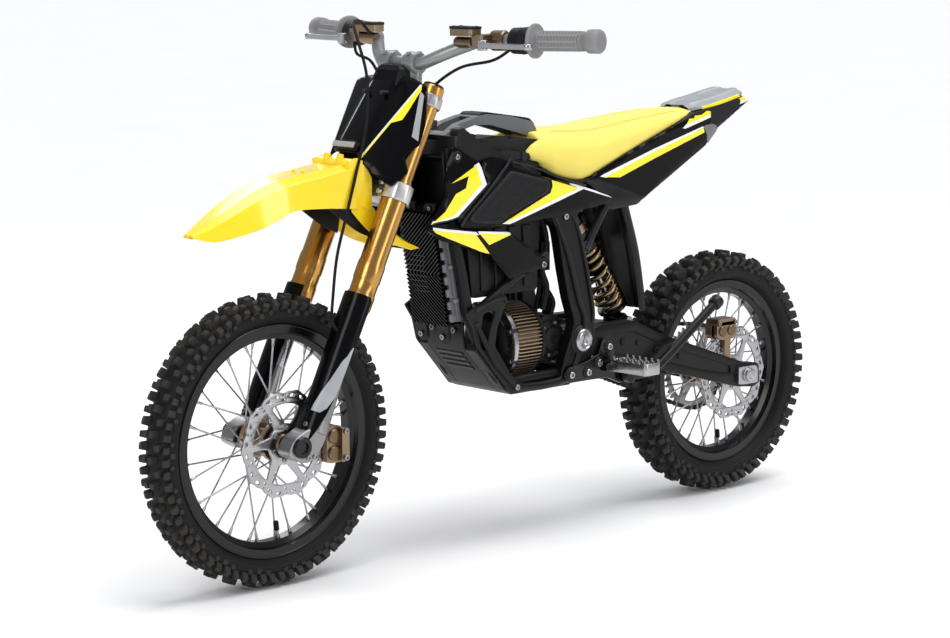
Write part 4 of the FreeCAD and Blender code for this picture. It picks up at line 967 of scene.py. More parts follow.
def side_covers():
    """Side covers with the rubber knee pads, and the lower covers."""
    outline = [(-149, 675), (-120, 681), (-84, 674), (-74, 663), (15, 635), (96, 616), (168, 591),
               (170, 583),
               (76, 570), (-92, 564), (-196, 567), (-204, 586), (-134, 637)]
    yellow = [(16, 633), (82, 614), (-84, 570), (-97, 569), (13, 611), (18, 623)]
    white = [(70, 620), (97, 612), (-84, 565), (-103, 567), (-86, 571), (80, 613)]
    line = [(60, 626), (168, 592), (168, 589), (62, 621)]
    cover = sheet(outline, flank(0.0), 8, [(white, 2), (yellow, 1), (line, 2)], step=12).both_sides()
    piece("side_covers", cover, "chassis", ["gloss_black", "decal_yellow", "decal_white"], sharp=30,
          stands_for=("side_panels",))

    inner = [(u + (-70 - u) * 0.22, v + (614 - v) * 0.22) for u, v in KNEE_PAD]
    grooves = [((-60, 636), (-20, 600)), ((-20, 634), (-66, 604)), ((-76, 618), (6, 616)),
               ((-66, 604), (-92, 588)), ((-30, 592), (-4, 622)), ((-120, 592), (-104, 612))]
    under = flank(4.4)

    def worn_rubber(u, v, depth):
        ring = distance_to(inner, u, v)
        dip = 1.5 * max(0.0, 1 - ring / 3.0)
        for (au, av), (bu, bv) in grooves:
            du, dv = bu - au, bv - av
            t = max(0.0, min(1.0, ((u - au) * du + (v - av) * dv) / (du * du + dv * dv)))
            gap = math.hypot(u - au - du * t, v - av - dv * t)
            dip = max(dip, 1.2 * max(0.0, 1 - gap / 2.6))
        return under(u, v, depth + dip)

    pad = sheet(KNEE_PAD, worn_rubber, 5.5, step=3.2, roll=3.0, corner=9).both_sides()
    piece("knee_pads", pad, "chassis", ["knee_rubber"], sharp=40)

    lower = [(-269, 575), (-263, 577), (-203, 581), (-192, 566), (-80, 550), (13, 493), (12, 480),
             (-56, 471),
             (-80, 467), (-128, 516), (-240, 549), (-268, 566)]
    left_face = [(-259, 568), (-161, 553), (-129, 517), (-141, 519), (-252, 562)]
    left_line = [(-259, 572), (-160, 557), (-154, 551), (-162, 552), (-258, 567)]
    right_face = [(-153, 554), (-78, 546), (-130, 532)]
    right_line = [(-156, 558), (-76, 550), (-82, 545), (-153, 552)]
    low_decals = [(left_line, 2), (left_face, 1), (right_line, 2), (right_face, 1)]
    panel = sheet(lower, flank(-2.0, 92.0), 6, low_decals, step=12).both_sides()
    piece("lower_covers", panel, "chassis", ["gloss_black", "decal_yellow", "decal_white"], sharp=30)

    trim = Shape()
    ridge = [flank(2.2)(u, v, 0) for u, v in smooth_line_2d([(-84, 676), (-96, 662), (-140, 622), (-184,
                                                                                                   586),
                                                            (-196, 572)], 5)]
    trim.tube(ridge, 2.4, 8)
    ridge = [flank(1.6)(u, v, 0) for u, v in smooth_line_2d([(-134, 640), (-168, 612), (-204, 587),
                                                            (-262, 579)], 5)]
    trim.tube(ridge, 1.8, 8)
    ridge = [flank(1.6)(u, v, 0) for u, v in smooth_line_2d([(-78, 671), (-20, 656), (40, 634), (100,
                                                                                                 617)], 5)]
    trim.tube(ridge, 1.6, 8)
    piece("cover_ridges", trim.both_sides(), "chassis", ["black_plastic"])

    bolts = Shape()
    place = Vector(flank(-2.0, 92.0)(-2, 486, 0))
    bolts.lathe([(-3, 9), (0.8, 9), (1.4, 8.2), (1.4, 7)], place, (1, 0, 0), 24)
    bolts.paint = 1
    bolts.bolt(place, (1, 0, 0), 5.6, 4.0)
    piece("cover_bolts", bolts.both_sides(), "chassis", ["black_plastic", "steel"])


def smooth_line_2d(points, per):
    return [(p.y, p.z) for p in smooth_line([(0, u, v) for u, v in points], per)]


# ---------------------------------------------------------------- number plate

def plate_half(up):
    """Half-width of the plate's front face at a height."""
    return 39.0 + 0.29 * (up - 177)


def plate_surface(u, v, depth):
    """Front face, with swept sides and a raised middle, in the fork's frame."""
    across = abs(u)
    half = plate_half(v)
    behind = -75.0 + 0.2 * (v - 177) + 0.0012 * across * across
    behind += 0.72 * max(0.0, across - half)
    behind += 2.6 * min(1.0, max(0.0, (across - 24 - 0.04 * (v - 177)) / 5.0))
    return FORK @ Vector((u, behind + depth, v))


def number_plate():
    """Plate with swept sides, its lamp, and the block on top."""
    half = [(31, 187), (38, 176), (60, 161), (84, 151), (101, 181), (89, 206), (103, 231), (101, 273),
            (90, 318),
            (82, 331), (58, 339), (31, 341), (18, 346)]
    outline = half + [(-u, v) for u, v in reversed(half)]

    def beside(v0, v1, low, high, side):
        """Band that follows the edge of the front face."""
        return [(side * (plate_half(v0) + low), v0), (side * (plate_half(v1) + low), v1),
                (side * (plate_half(v1) + high), v1), (side * (plate_half(v0) + high), v0)]

    decals = []
    for side in (1, -1):
        decals.append((beside(177, 328, -2.6, 0.4, side), 2))
        decals.append((beside(178, 262, 0.0, 1.8, side), 1))
        decals.append(([(side * (plate_half(250) + 0.4), 250), (side * (plate_half(328) + 0.4), 328),
                        (side * (plate_half(328) + 2.0), 320), (side * (plate_half(285) + 8), 281),
                        (side * (plate_half(268) + 9), 262)], 1))
        decals.append(([(side * 84, 318), (side * 90, 312), (side * 101, 236), (side * 92, 240)], 3))
    # painted highlight: this light grey stripe on the far-side crease of the raised middle stands in for
    # the reflection that the crease catches
    decals.append(([(-31, 330), (-27, 330), (-25, 200), (-29, 200)], 3))
    shell = sheet(outline, plate_surface, 3.0, decals, step=9, corner=5)
    piece("number_plate_shell", shell, "steering",
          ["gloss_black", "decal_yellow", "decal_white", "grey_print_and_painted_highlight"],
          sharp=24, stands_for=("number_plate",))

    lamp = Shape(FORK)
    lamp.paint = 1
    lamp.prism(rounded([(-27, 190), (27, 190), (27, 206), (-27, 206)], 7), -80.0, -70.0, "y")
    lamp.paint = 0
    for row in range(9):
        x = -24.0 + 6 * row
        lamp.prism(rounded([(x - 2.6, 193), (x + 2.6, 193), (x + 2.6, 203), (x - 2.6, 203)], 1.6, 2),
                   -81.6, -78, "y")
    piece("lamp_strip", lamp, "steering", ["lamp", "black_plastic"], bevel=0.6, segments=2)

    block = Shape(FORK)
    front = [(-38, 318), (38, 318), (34, 352), (24, 360), (-24, 360), (-34, 352)]
    rings = []
    for behind, share, drop in ((-44, 0.86, 4), (-38, 1.0, 0), (-20, 1.03, 0), (-12, 0.95, 3)):
        rings.append([(u * share, behind, (v - 338) * share + 338 - drop * 0.2) for u, v in front])
    block.skin(rings)
    block.paint = 1
    block.prism(rounded([(-26, 326), (26, 326), (24, 348), (-24, 348)], 4), -45.4, -43.6, "y")
    piece("display_block", block, "steering", ["black_plastic", "gloss_black"], bevel=1.6, segments=2)
    stays = Shape(FORK)
    for side in (1, -1):
        stays.tube(smooth_line([(side * 22, -60, 300), (side * 24, -44, 306), (side * 26, -22, 312)], 5),
                   4.0, 10)
        stays.tube(smooth_line([(side * 22, -68, 205), (side * 26, -46, 176), (side * 30, -14, 158)], 5),
                   4.0, 10)
    piece("plate_stays", stays, "steering", ["black_plastic"])


# ---------------------------------------------------------------- front fender

def arch_shell(shape, rows, thickness, per=4):
    """Shell from half cross-sections that run from the middle outwards and down."""
    lines = [smooth_line([row[k] for row in rows], per) for k in range(len(rows[0]))]
    last = len(lines) - 1
    rings = []
    for i in range(len(lines[0])):
        half = [line[i] for line in lines]
        inner = []
        for k, p in enumerate(half):
            narrower = max(0.0, p.x - thickness * min(1.0, k / last * 1.6))
            inner.append(Vector((narrower, p.y, p.z - thickness * (1 - k / last))))
        outer_ring = [Vector((-p.x, p.y, p.z)) for p in reversed(half[1:])] + half
        inner_ring = [Vector((-p.x, p.y, p.z)) for p in reversed(inner[1:])] + inner
        rings.append(outer_ring + list(reversed(inner_ring)))
    shape.skin(rings)


def front_fender():
    """Faceted fender: a long beak ahead of the fork, and a tail tucked in behind it."""
    shape = Shape()
    beak = [
        [(0, -696, 588), (8, -695.5, 588.5), (13, -694, 587), (17, -692, 583)],
        [(0, -668, 604), (15, -666, 605), (24, -664, 598), (29, -661, 577)],
        [(0, -630, 624), (19, -629, 626), (33, -627, 617), (42, -623, 584)],
        [(0, -585, 646), (22, -585, 648), (40, -585, 637), (51, -584, 594)],
        [(0, -548, 660), (24, -547, 662), (44, -546, 651), (52, -545, 607)],
        [(0, -520, 665), (25, -519, 667.5), (46, -518, 659), (52, -518, 617)],
        [(0, -460, 673), (27, -459, 675.5), (47, -458, 667), (51, -456, 616)],
        [(0, -402, 680), (28, -402, 682.5), (47, -401, 676), (50, -396, 611)],
        [(0, -388, 680), (28, -388, 682), (46, -387, 675), (49, -382, 611)],
    ]
    arch_shell(shape, beak, 3.6)
    tail = [
        [(0, -402, 655), (28, -402, 656), (44, -400, 646), (48, -396, 606)],
        [(0, -372, 641), (28, -372, 641), (45, -370, 628), (48, -372, 582)],
        [(0, -340, 614), (29, -340, 613), (46, -338, 596), (49, -346, 562)],
        [(0, -306, 576), (32, -304, 574), (51, -298, 556), (54, -312, 546)],
        [(0, -278, 541), (36, -272, 539), (57, -256, 536), (59, -276, 534)],
    ]
    arch_shell(shape, tail, 3.6)
    made = piece("front_fender_shell", shape, "steering", ["yellow"], bevel=2.2, segments=3,
                 stands_for=("front_fender",))
    made.modifiers["edges"].angle_limit = math.radians(16)

    mount = Shape()
    mount.prism(rounded([(-398, 664), (-404, 684), (-392, 693), (-366, 688), (-352, 662), (-352, 640),
                         (-392, 646)], 4), -44, 44)
    for side in (1, -1):
        mount.rod((side * 16, -396, 684), (side * 16, -393, 699), 6.0, 24, 1.2)
        low, high = sorted((side * 40.0, side * 47.0))
        mount.prism(rounded([(-396, 620), (-402, 690), (-380, 694), (-352, 660), (-352, 604),
                             (-372, 612)], 5),
                    low, high)
        for y, z in ((-470, 676), (-560, 653)):
            mount.ball((side * 12, y, z - 1.2), 3.0, 10)
    piece("fender_mount", mount, "steering", ["yellow"], bevel=1.8, segments=2)
    under = Shape()
    arch_shell(under, [
        [(0, -440, 663), (24, -440, 663), (40, -440, 655), (44, -440, 612)],
        [(0, -380, 640), (24, -380, 640), (40, -380, 628), (44, -384, 574)],
        [(0, -350, 606), (24, -350, 606), (40, -350, 590), (44, -352, 560)],
    ], 3.0)
    piece("fender_liner", under, "steering", ["black_plastic"], bevel=1.0)


# ---------------------------------------------------------------- seat

def seat():
    """One-piece cushion: two front horns and the body are remeshed into a single soft form."""
    shape = Shape()
    stations = [
        # place, middle height, shoulder half-width and height, side half-width and height, low edge
        (22, 712, 38, 712, 62, 690, 59, 654),
        (60, 713, 44, 713, 69, 688, 64, 636),
        (110, 711, 46, 711, 73, 682, 64, 625),
        (160, 711, 46, 711, 73, 682, 62, 631),
        (230, 719, 44, 718, 70, 694, 60, 656),
        (300, 727, 41, 725, 65, 706, 55, 681),
        (370, 732, 37, 730, 58, 717, 50, 704),
        (420, 734, 31, 731, 49, 724, 43, 718),
        (450, 729, 23, 727, 36, 723, 32, 719),
        (460, 724, 15, 723, 22, 721, 18, 719),
    ]
    rings = []
    for y, mid, sx, sz, bx, bz, lx, lz in stations:
        half = [(0, mid), (0.55 * sx, mid + 0.3), (sx, sz), (0.5 * (sx + bx) + 3, 0.35 * bz + 0.65 * sz),
                (bx, bz), (0.5 * (bx + lx) + 1, 0.5 * (bz + lz)), (lx, lz), (lx * 0.5, lz + 1)]
        ring = [(x, y, z) for x, z in half]
        ring += [(-x, y, z) for x, z in reversed(half[1:])]
        rings.append(ring)
    smoothed = [smooth_line([ring[k] for ring in rings], 4) for k in range(len(rings[0]))]
    shape.skin([[line[i] for line in smoothed] for i in range(len(smoothed[0]))])
    horn = [(58, -16, 676, 5, 5), (60, 0, 680, 8, 16), (62, 22, 682, 9, 24), (62, 50, 674, 10, 30)]
    for side in (1, -1):
        rows = []
        for x, y, z, wide, tall in horn:
            rows.append([(side * (x + wide * u), y, z + tall * v) for u, v in ring_of(1.0, 16)])
        shape.skin(rows)
    made = piece("seat_cushion", shape, "chassis", ["seat_yellow"], stands_for=("seat",))
    mesh = made.modifiers.new("form", "REMESH")
    mesh.mode = "VOXEL"
    mesh.voxel_size = 0.0045
    mesh.use_smooth_shade = True
    soft = made.modifiers.new("soften", "SMOOTH")
    soft.factor = 0.6
    soft.iterations = 7

    piping = Shape()
    for side in (1, -1):
        seam = [(side * (sx + 2.5), y, sz + 0.2) for y, mid, sx, sz, *_ in stations[1:-2]]
        piping.tube(smooth_line(seam, 6), 0.9, 8)
    piece("seat_seams", piping, "chassis", ["seat_yellow"])
    rim = Shape()
    for side in (1, -1):
        row = [(side * (lx + 1.5), y, lz - 3.0) for y, _, _, _, _, _, lx, lz in stations]
        rim.tube(smooth_line(row, 5), [3.6] * (5 * (len(stations) - 1) + 1), 8)
    piece("seat_lower_edge", rim, "chassis", ["black_plastic"])


# ---------------------------------------------------------------- tail

def tail_surface(lift):
    """Side of the tail, drawn for a half-width of 71 and narrower towards its end."""
    def at(u, v, depth):
        half = 71.0 + lift - 0.055 * max(0.0, u - 180) + 0.03 * max(0.0, 640 - v)
        return (half - depth, u + 0.96 * (71.0 - half), v)
    return at


def tail():
    """Tail sides with stripes, the satin front strips, the vents and the grey top cover."""
    outline = [(126, 618), (150, 634), (240, 668), (370, 710), (392, 716), (450, 731), (545, 750),
               (562, 741),
               (470, 692), (441, 664), (277, 581), (268, 577)]
    low_white = [(160, 628), (167, 631), (300, 668), (430, 700), (438, 699), (300, 660), (176, 625)]
    low_yellow = [(172, 626), (300, 663), (434, 697), (436, 689), (300, 650), (211, 623)]
    high_white = [(376, 700), (386, 707), (556, 746), (558, 741), (470, 720), (384, 699)]
    high_yellow = [(386, 706), (394, 716), (404, 726), (552, 750), (556, 745)]
    satin = [(124, 622), (154, 625), (277, 582), (259, 571), (190, 566), (120, 612)]
    decals = [(low_white, 2), (low_yellow, 1), (high_white, 2), (high_yellow, 1), (satin, 3)]
    sides = sheet(outline, tail_surface(0.0), 6, decals, step=13, corner=4).both_sides()
    piece("tail_sides", sides, "chassis", ["gloss_black", "decal_yellow", "decal_white", "black_plastic"],
          sharp=30, stands_for=("tail_cover",))
    front = sheet([(126, 622), (154, 626), (277, 582), (259, 571), (228, 569), (192, 567), (176, 573),
                   (168, 594)],
                  tail_surface(1.2), 5, step=14, corner=5).both_sides()
    piece("tail_front_strips", front, "chassis", ["black_plastic"], sharp=30)
    vents = sheet([(416, 696), (464, 707), (476, 695), (448, 668), (440, 691)], tail_surface(1.6), 5,
                  step=10, corner=3).both_sides()
    piece("tail_vents", vents, "chassis", ["grey_plastic"], sharp=30)

    top = Shape()
    rows = []
    for y, half, z in ((430, 36, 735), (448, 50, 740), (500, 53, 748), (552, 48, 758), (572, 40, 760),
                       (582, 30, 752)):
        section = [(0, z + 2), (half * 0.30, z + 2), (half * 0.36, z + 4), (half * 0.62, z + 4),
                   (half * 0.70, z + 1), (half * 0.96, z - 2), (half, z - 8)]
        rows.append([(x, y, h) for x, h in section])
    arch_shell(top, rows, 3.5)
    piece("tail_top_cover", top, "chassis", ["grey_print_and_painted_highlight"], bevel=0.9, segments=2)
    edges = Shape()
    for side in (1, -1):
        edge = [(side * 47, 450, 738.5), (side * 50.5, 500, 746.5), (side * 46, 552, 756.0)]
        line = smooth_line(edge, 5)
        rows = []
        for p in line:
            rows.append([p + Vector((side * u, 0, w)) for u,
                         w in ((-4, 0.6), (3.4, -2.4), (4.0, -7), (3.0, -7.2),
                                                                   (-4, -1.0))])
        edges.skin(rows)
    piece("tail_top_stripes", edges, "chassis", ["decal_yellow"])
    tray = Shape()
    tray.prism(rounded([(240, 592), (262, 577), (440, 668), (552, 738), (548, 748), (424, 726), (300, 674),
                        (240, 646)], 6), -56, 56)
    piece("tail_tray", tray, "chassis", ["black_plastic"], bevel=1.5)


# ---------------------------------------------------------------- battery and controller

def battery_top():
    """Lid with its trays and clips, the carrying handle with its pad, and the case."""
    lid = Shape()
    lid.prism(rounded([(-168, 676), (-164, 694), (-118, 702), (-20, 706), (34, 700), (44, 684),
                       (36, 676)], 4),
              -54, 54)
    for side in (1, -1):
        low, high = sorted((side * 54.0, side * 68.0))
        lid.prism(rounded([(-138, 672), (-134, 684), (-60, 688), (-12, 680), (-8, 670)], 3), low, high)
        for y in (-126, -74, -26):
            lid.box((min(side * 62, side * 74), y - 5, 668), (max(side * 62, side * 70), y + 5, 684))
        lid.prism(rounded([(-112, 700), (-104, 707), (-52, 710), (-40, 704)], 3),
                  *sorted((side * 32.0, side * 50.0)))
    piece("battery_lid_shell", lid, "chassis", ["black_plastic"], bevel=1.8, segments=2,
          stands_for=("battery_lid",))

    handle = Shape()
    for side in (1, -1):
        low, high = sorted((side * 13.0, side * 29.0))
        arch = [(-186, 700), (-178, 715), (-142, 735), (-98, 745), (-74, 748), (-20, 742), (34, 730),
                (45, 714),
                (40, 704), (28, 702), (12, 708), (-66, 729), (-104, 731), (-132, 724), (-146, 713),
                (-150, 702), (-168, 700)]
        handle.prism(rounded(arch, 5), low, high)
        post = [(-160, 727), (-146, 734), (-134, 727), (-132, 706), (-138, 698), (-150, 698)]
        handle.prism(rounded(post, 4), *sorted((side * 24.0, side * 40.0)))
    handle.prism(rounded([(-186, 700), (-178, 715), (-160, 724), (-152, 714), (-160, 701)], 3), -28, 28)
    handle.prism(rounded([(-100, 745), (-74, 748), (34, 730), (42, 718), (30, 716), (-70, 734),
                          (-98, 738)], 4),
                 -22, 22)
    piece("battery_handle_arch", handle, "chassis", ["grey_plastic"], bevel=2.4, segments=3,
          stands_for=("battery_handle",))
    pad = Shape()
    pad.prism(rounded([(-90, 746), (-84, 751), (-70, 751), (30, 736), (42, 726), (40, 720), (-72, 740)],
                      3), -25, 25)
    for i in range(9):
        y = -66 + 11 * i
        z = 750.6 - 0.148 * (y + 70)
        pad.prism([(y - 3, z - 2), (y - 2, z + 1.2), (y + 2, z + 0.7), (y + 3, z - 2.4)], -21, 21)
    piece("handle_pad", pad, "chassis", ["black_plastic"], bevel=1.2, segments=2)

    case = Shape()
    case.prism(rounded([(-152, 676), (-152, 560), (-137, 438), (18, 438), (26, 560), (30, 676)], 8), -57,
               57)
    for side in (1, -1):
        low, high = sorted((side * 57.0, side * 61.0))
        for y in (-118, -84, -50, -16):
            case.prism(rounded([(y, 448), (y + 20, 448), (y + 16, 556), (y - 4, 556)], 4), low, high)
    piece("battery_case_shell", case, "chassis", ["black_plastic"], bevel=3.0, segments=3,
          stands_for=("battery_case",))


SINK_LEAN = math.radians(9.9)
SINK = Matrix((
    (1, 0, 0, 0),
    (0, math.cos(SINK_LEAN), -math.sin(SINK_LEAN), -143),
    (0, math.sin(SINK_LEAN), math.cos(SINK_LEAN), 398),
    (0, 0, 0, 1),
))


def heat_sink():
    """Controller cooler: nested arrow-shaped fins in front and notched plates at the sides."""
    core = Shape(SINK)
    core.box((-43, -30, 0), (43, 0, 200))
    middle_up = 92.0
    fin_depth = (-41.0, -29.0)

    def fin(u0, v0, u1, v1, wide=2.6):
        run = Vector((u1 - u0, v1 - v0))
        side = Vector((-run.y, run.x)).normalized() * wide / 2
        corners = [(u0 + side.x, v0 + side.y), (u1 + side.x, v1 + side.y), (u1 - side.x, v1 - side.y),
                   (u0 - side.x, v0 - side.y)]
        core.prism(corners, *fin_depth, "y")

    slope = 0.86
    for k in range(-15, 9):
        apex = 44.0 - 9.5 * (8 - k) * 0.9
        for way in (1, -1):
            start = max(apex, -44.0)
            limit = (199.0 - middle_up) if way > 0 else middle_up - 1.0
            stop = min(44.0, apex + limit / slope)
            if stop - start > 4:
                fin(start, middle_up + way * (start - apex) * slope, stop,
                    middle_up + way * (stop - apex) * slope)
    for v in range(8):
        up = middle_up + (v - 3.5) * 9
        fin(-40 + abs(v - 3.5) * 4, up, 10, up, 2.2)
    piece("heat_sink_fins", core, "chassis", ["black_alloy"], bevel=0.7, segments=1,
          stands_for=("controller_heat_sink",))

    plates = Shape(SINK)
    for side in (1, -1):
        low, high = sorted((side * 43.0, side * 48.0))
        edge = []
        for i in range(9):
            v = 8 + 22 * i
            edge += [(-34, v), (-34, v + 13), (-28, v + 14), (-28, v + 21)]
        plates.prism([(-2, 2)] + edge[:-1] + [(-28, 198), (-2, 198)], low, high)
        low, high = sorted((side * 48.0, side * 52.0))
        plates.prism(rounded([(-22, 6), (-22, 194), (-14, 194), (-14, 6)], 2), low, high)
        plates.prism(rounded([(-10, 6), (-10, 194), (-4, 194), (-4, 6)], 2), low, high)
        for v in (40, 100, 152):
            plates.box((low, -26, v), (high + (3 if side > 0 else 0), 2, v + 7))
    piece("heat_sink_sides", plates, "chassis", ["grey_plastic"], bevel=0.8, segments=1)

    lugs = Shape(SINK)
    for side in (1, -1):
        lugs.paint = 0
        outline = rounded([(side * 12, 6), (side * 14, -24), (side * 27, -33), (side * 41, -24),
                           (side * 43, 6)], 6)
        lugs.prism(outline, -38, -32, "y")
        lugs.prism(rounded([(side * 40, 214), (side * 36, 198), (side * 8, 198), (side * 14, 214)], 4),
                   -28, -22, "y")
        lugs.paint = 1
        lugs.bolt((side * 27, -38, -18), (0, -1, 0), 5.2, 4)
        lugs.bolt((side * 26, -28, 206), (0, -1, 0), 4.0, 3)
    piece("heat_sink_lugs", lugs, "chassis", ["black_plastic", "steel"], bevel=1.0)


# ---------------------------------------------------------------- motor and guards

def motor():
    """Finned motor with its silver flange, gear case, motor cables and the cable loom."""
    place = Vector((0, 0, 346))
    body = Shape()
    body.paint = 1
    body.lathe([(-62, 0.5), (-62, 44), (-58, 50), (-50, 58)], place, (0, 1, 0), 72)
    body.paint = 2
    body.lathe([(-52, 50), (-52, 68), (-49, 73), (-41, 73), (-38, 68), (-38, 52)], place, (0, 1, 0), 90)
    body.paint = 0
    body.lathe([(-38, 50), (-38, 58), (32, 58), (32, 0.5)], place, (0, 1, 0), 72)
    body.paint = 1
    body.lathe([(26, 50), (26, 64), (30, 67), (34, 64), (38, 50)], place, (0, 1, 0), 72)
    count = 64
    body.paint = 0
    for i in range(count):
        angle = 2 * math.pi * i / count
        out = Vector((math.cos(angle), 0, math.sin(angle)))
        along = Vector((-math.sin(angle), 0, math.cos(angle)))
        rings = []
        for y, reach in ((-37, 62), (-30, 68), (20, 68), (27, 63)):
            centre = place + Vector((0, y, 0))
            rings.append([centre + out * 56 - along * 1.7, centre + out * reach - along * 1.3,
                          centre + out * reach + along * 1.3, centre + out * 56 + along * 1.7])
        body.skin(rings)
    piece("motor_shell", body, "chassis", ["bronze", "black_plastic", "silver"], bevel=0.5, segments=1,
          stands_for=("motor_housing",))
    bolts = Shape()
    for i in range(8):
        angle = math.radians(22.5 + 45 * i)
        spot = place + Vector((69 * math.cos(angle), -46, 69 * math.sin(angle)))
        bolts.paint = 0
        bolts.lathe([(-8, 5.4), (7, 5.4), (8, 4.6)], spot, (0, 1, 0), 14)
        bolts.paint = 1
        bolts.bolt(spot + Vector((0, -8, 0)), (0, -1, 0), 3.8, 3)
    piece("motor_bolts", bolts, "chassis", ["black_plastic", "steel"])

    gear = Shape()
    profile = [(34, 312), (34, 382), (44, 390), (70, 390), (84, 378), (84, 316), (72, 306), (44, 306)]
    gear.prism(rounded(profile, 6), -34, 48)
    gear.lathe([(46, 34), (50, 34), (52, 31), (55, 22), (58.5, 21), (59.4, 19), (59.4, 8), (57, 7)],
               (0, 57, 347), (1, 0, 0), 40)
    for i in range(6):
        angle = math.radians(60 * i + 15)
        gear.lathe([(44, 5), (53.5, 5)], (0, 57 + 29 * math.cos(angle), 347 + 29 * math.sin(angle)),
                   (1, 0, 0), 12)
    gear.lathe([(30, 15), (40, 15), (42, 12)], (0, DRIVE.y, DRIVE.z), (-1, 0, 0), 30)
    gear.paint = 1
    for i in range(6):
        angle = math.radians(60 * i + 15)
        gear.bolt((53.5, 57 + 29 * math.cos(angle), 347 + 29 * math.sin(angle)), (1, 0, 0), 3.4, 2.6)
    piece("gear_case_shell", gear, "chassis", ["black_plastic", "steel"], bevel=1.6,
          stands_for=("gear_case",))
    cables = Shape()
    for x, lift in ((40, 0), (32, 8), (24, 2)):
        cables.tube(smooth_line([(x, 66, 386), (x + 4, 70, 410 + lift), (x, 56, 436), (x - 4, 34, 462),
                                 (x - 6, 20, 500)], 6), 4.6, 10)
    for side in (1, -1):
        for x, y0, drop in ((52, 34, 0), (44, 40, 8), (36, 34, -6), (26, 44, 4)):
            cables.tube(smooth_line([(side * x, y0, 560), (side * (x + 3), y0 + 8, 520 + drop),
                                     (side * (x - 2), y0 + 2, 474), (side * x, y0 + 12, 440 - drop),
                                     (side * (x - 6), y0 + 8, 400)], 6), 5.4, 10)
        cables.box((min(side * 22, side * 54), 32, 470), (max(side * 22, side * 54), 52, 520))
    piece("motor_cables", cables, "chassis", ["rubber"])


def skid_parts():
    """Skid plate with slots and bolts, and the two open side guards with their crash bars."""
    nose = Shape()
    outer = [(-152, 396), (-151, 374), (-146, 350), (-96, 296), (-78, 275), (-60, 264.2), (82, 264.2),
             (86, 270),
             (84, 276), (-58, 270), (-72, 281), (-91, 301), (-140, 354), (-145, 375), (-146, 396)]
    nose.prism(outer, -47, 47)
    for side in (1, -1):
        wing = [(-146, 350), (-96, 296), (-78, 275), (-60, 264.2), (84, 264.2), (84, 276), (-58, 272),
                (-74, 290), (-92, 312), (-138, 360)]
        nose.prism(wing, *sorted((side * 46.0, side * 74.0)))
    piece("skid_plate_shell", nose, "chassis", ["black_plastic"], bevel=2.0, segments=2,
          stands_for=("skid_plate",))
    slots = Shape()
    down = Vector((0.68, -0.734))
    out = Vector((-0.734, -0.68))
    for k in range(4):
        spot = Vector((-146, 350)) + down * (13 + 13 * k)
        corners = [spot - down * 4.4 - out, spot - down * 3.0 + out * 2.2, spot + down * 3.0 + out * 2.2,
                   spot + down * 4.4 - out]
        slots.prism([tuple(c) for c in corners], -33, 33)
    slots.paint = 1
    for side in (1, -1):
        slots.bolt((side * 27, -152, 382), (0, -1, 0.1), 5.4, 3.6)
    piece("skid_bolts", slots, "chassis", ["black_plastic", "steel"])

    guard = [(-172, 418), (-158, 425), (-86, 444), (-75, 436), (-100, 388), (-106, 356), (-68, 302),
             (-40, 274),
             (-46, 266), (-66, 266), (-94, 298), (-144, 354), (-154, 392)]
    window = [(-134, 413), (-114, 418), (-104, 414), (-118, 382), (-123, 360), (-131, 349), (-141, 362)]
    plates = Shape()
    plates.plate([rounded(guard, 5), rounded(window, 5)], 74.6, 81.0, "x", 1.4)
    plates.tube(smooth_line([(70, -102, 330), (76, -102, 330), (80, -102, 330)], 2), 7.0, 18)
    rib = [(79.5, -150, 400), (82.4, -132, 366), (82.4, -106, 326), (82.4, -70, 290), (80, -50, 272)]
    plates.tube(smooth_line(rib, 6), 5.0, 12)
    rib = [(80, -150, 420), (82.4, -120, 430), (82.4, -88, 436), (80, -80, 430)]
    plates.tube(smooth_line(rib, 6), 3.6, 12)
    piece("bash_guard_plates", plates.both_sides(), "chassis", ["black_plastic"], sharp=40,
          stands_for=("bash_guards",))
    bars = Shape()
    bars.tube(smooth_line([(74, -70, 286), (79, -40, 276), (80, 20, 274), (80, 66, 280), (76, 96, 300)],
                          6), 8.0, 16)
    bars.paint = 1
    for y, z in ((-60, 279), (64, 280)):
        bars.bolt((87, y, z), (1, 0, 0), 5.0, 3.4)
    piece("guard_bars", bars.both_sides(), "chassis", ["black_steel", "steel"])


# ---------------------------------------------------------------- frame and swingarm

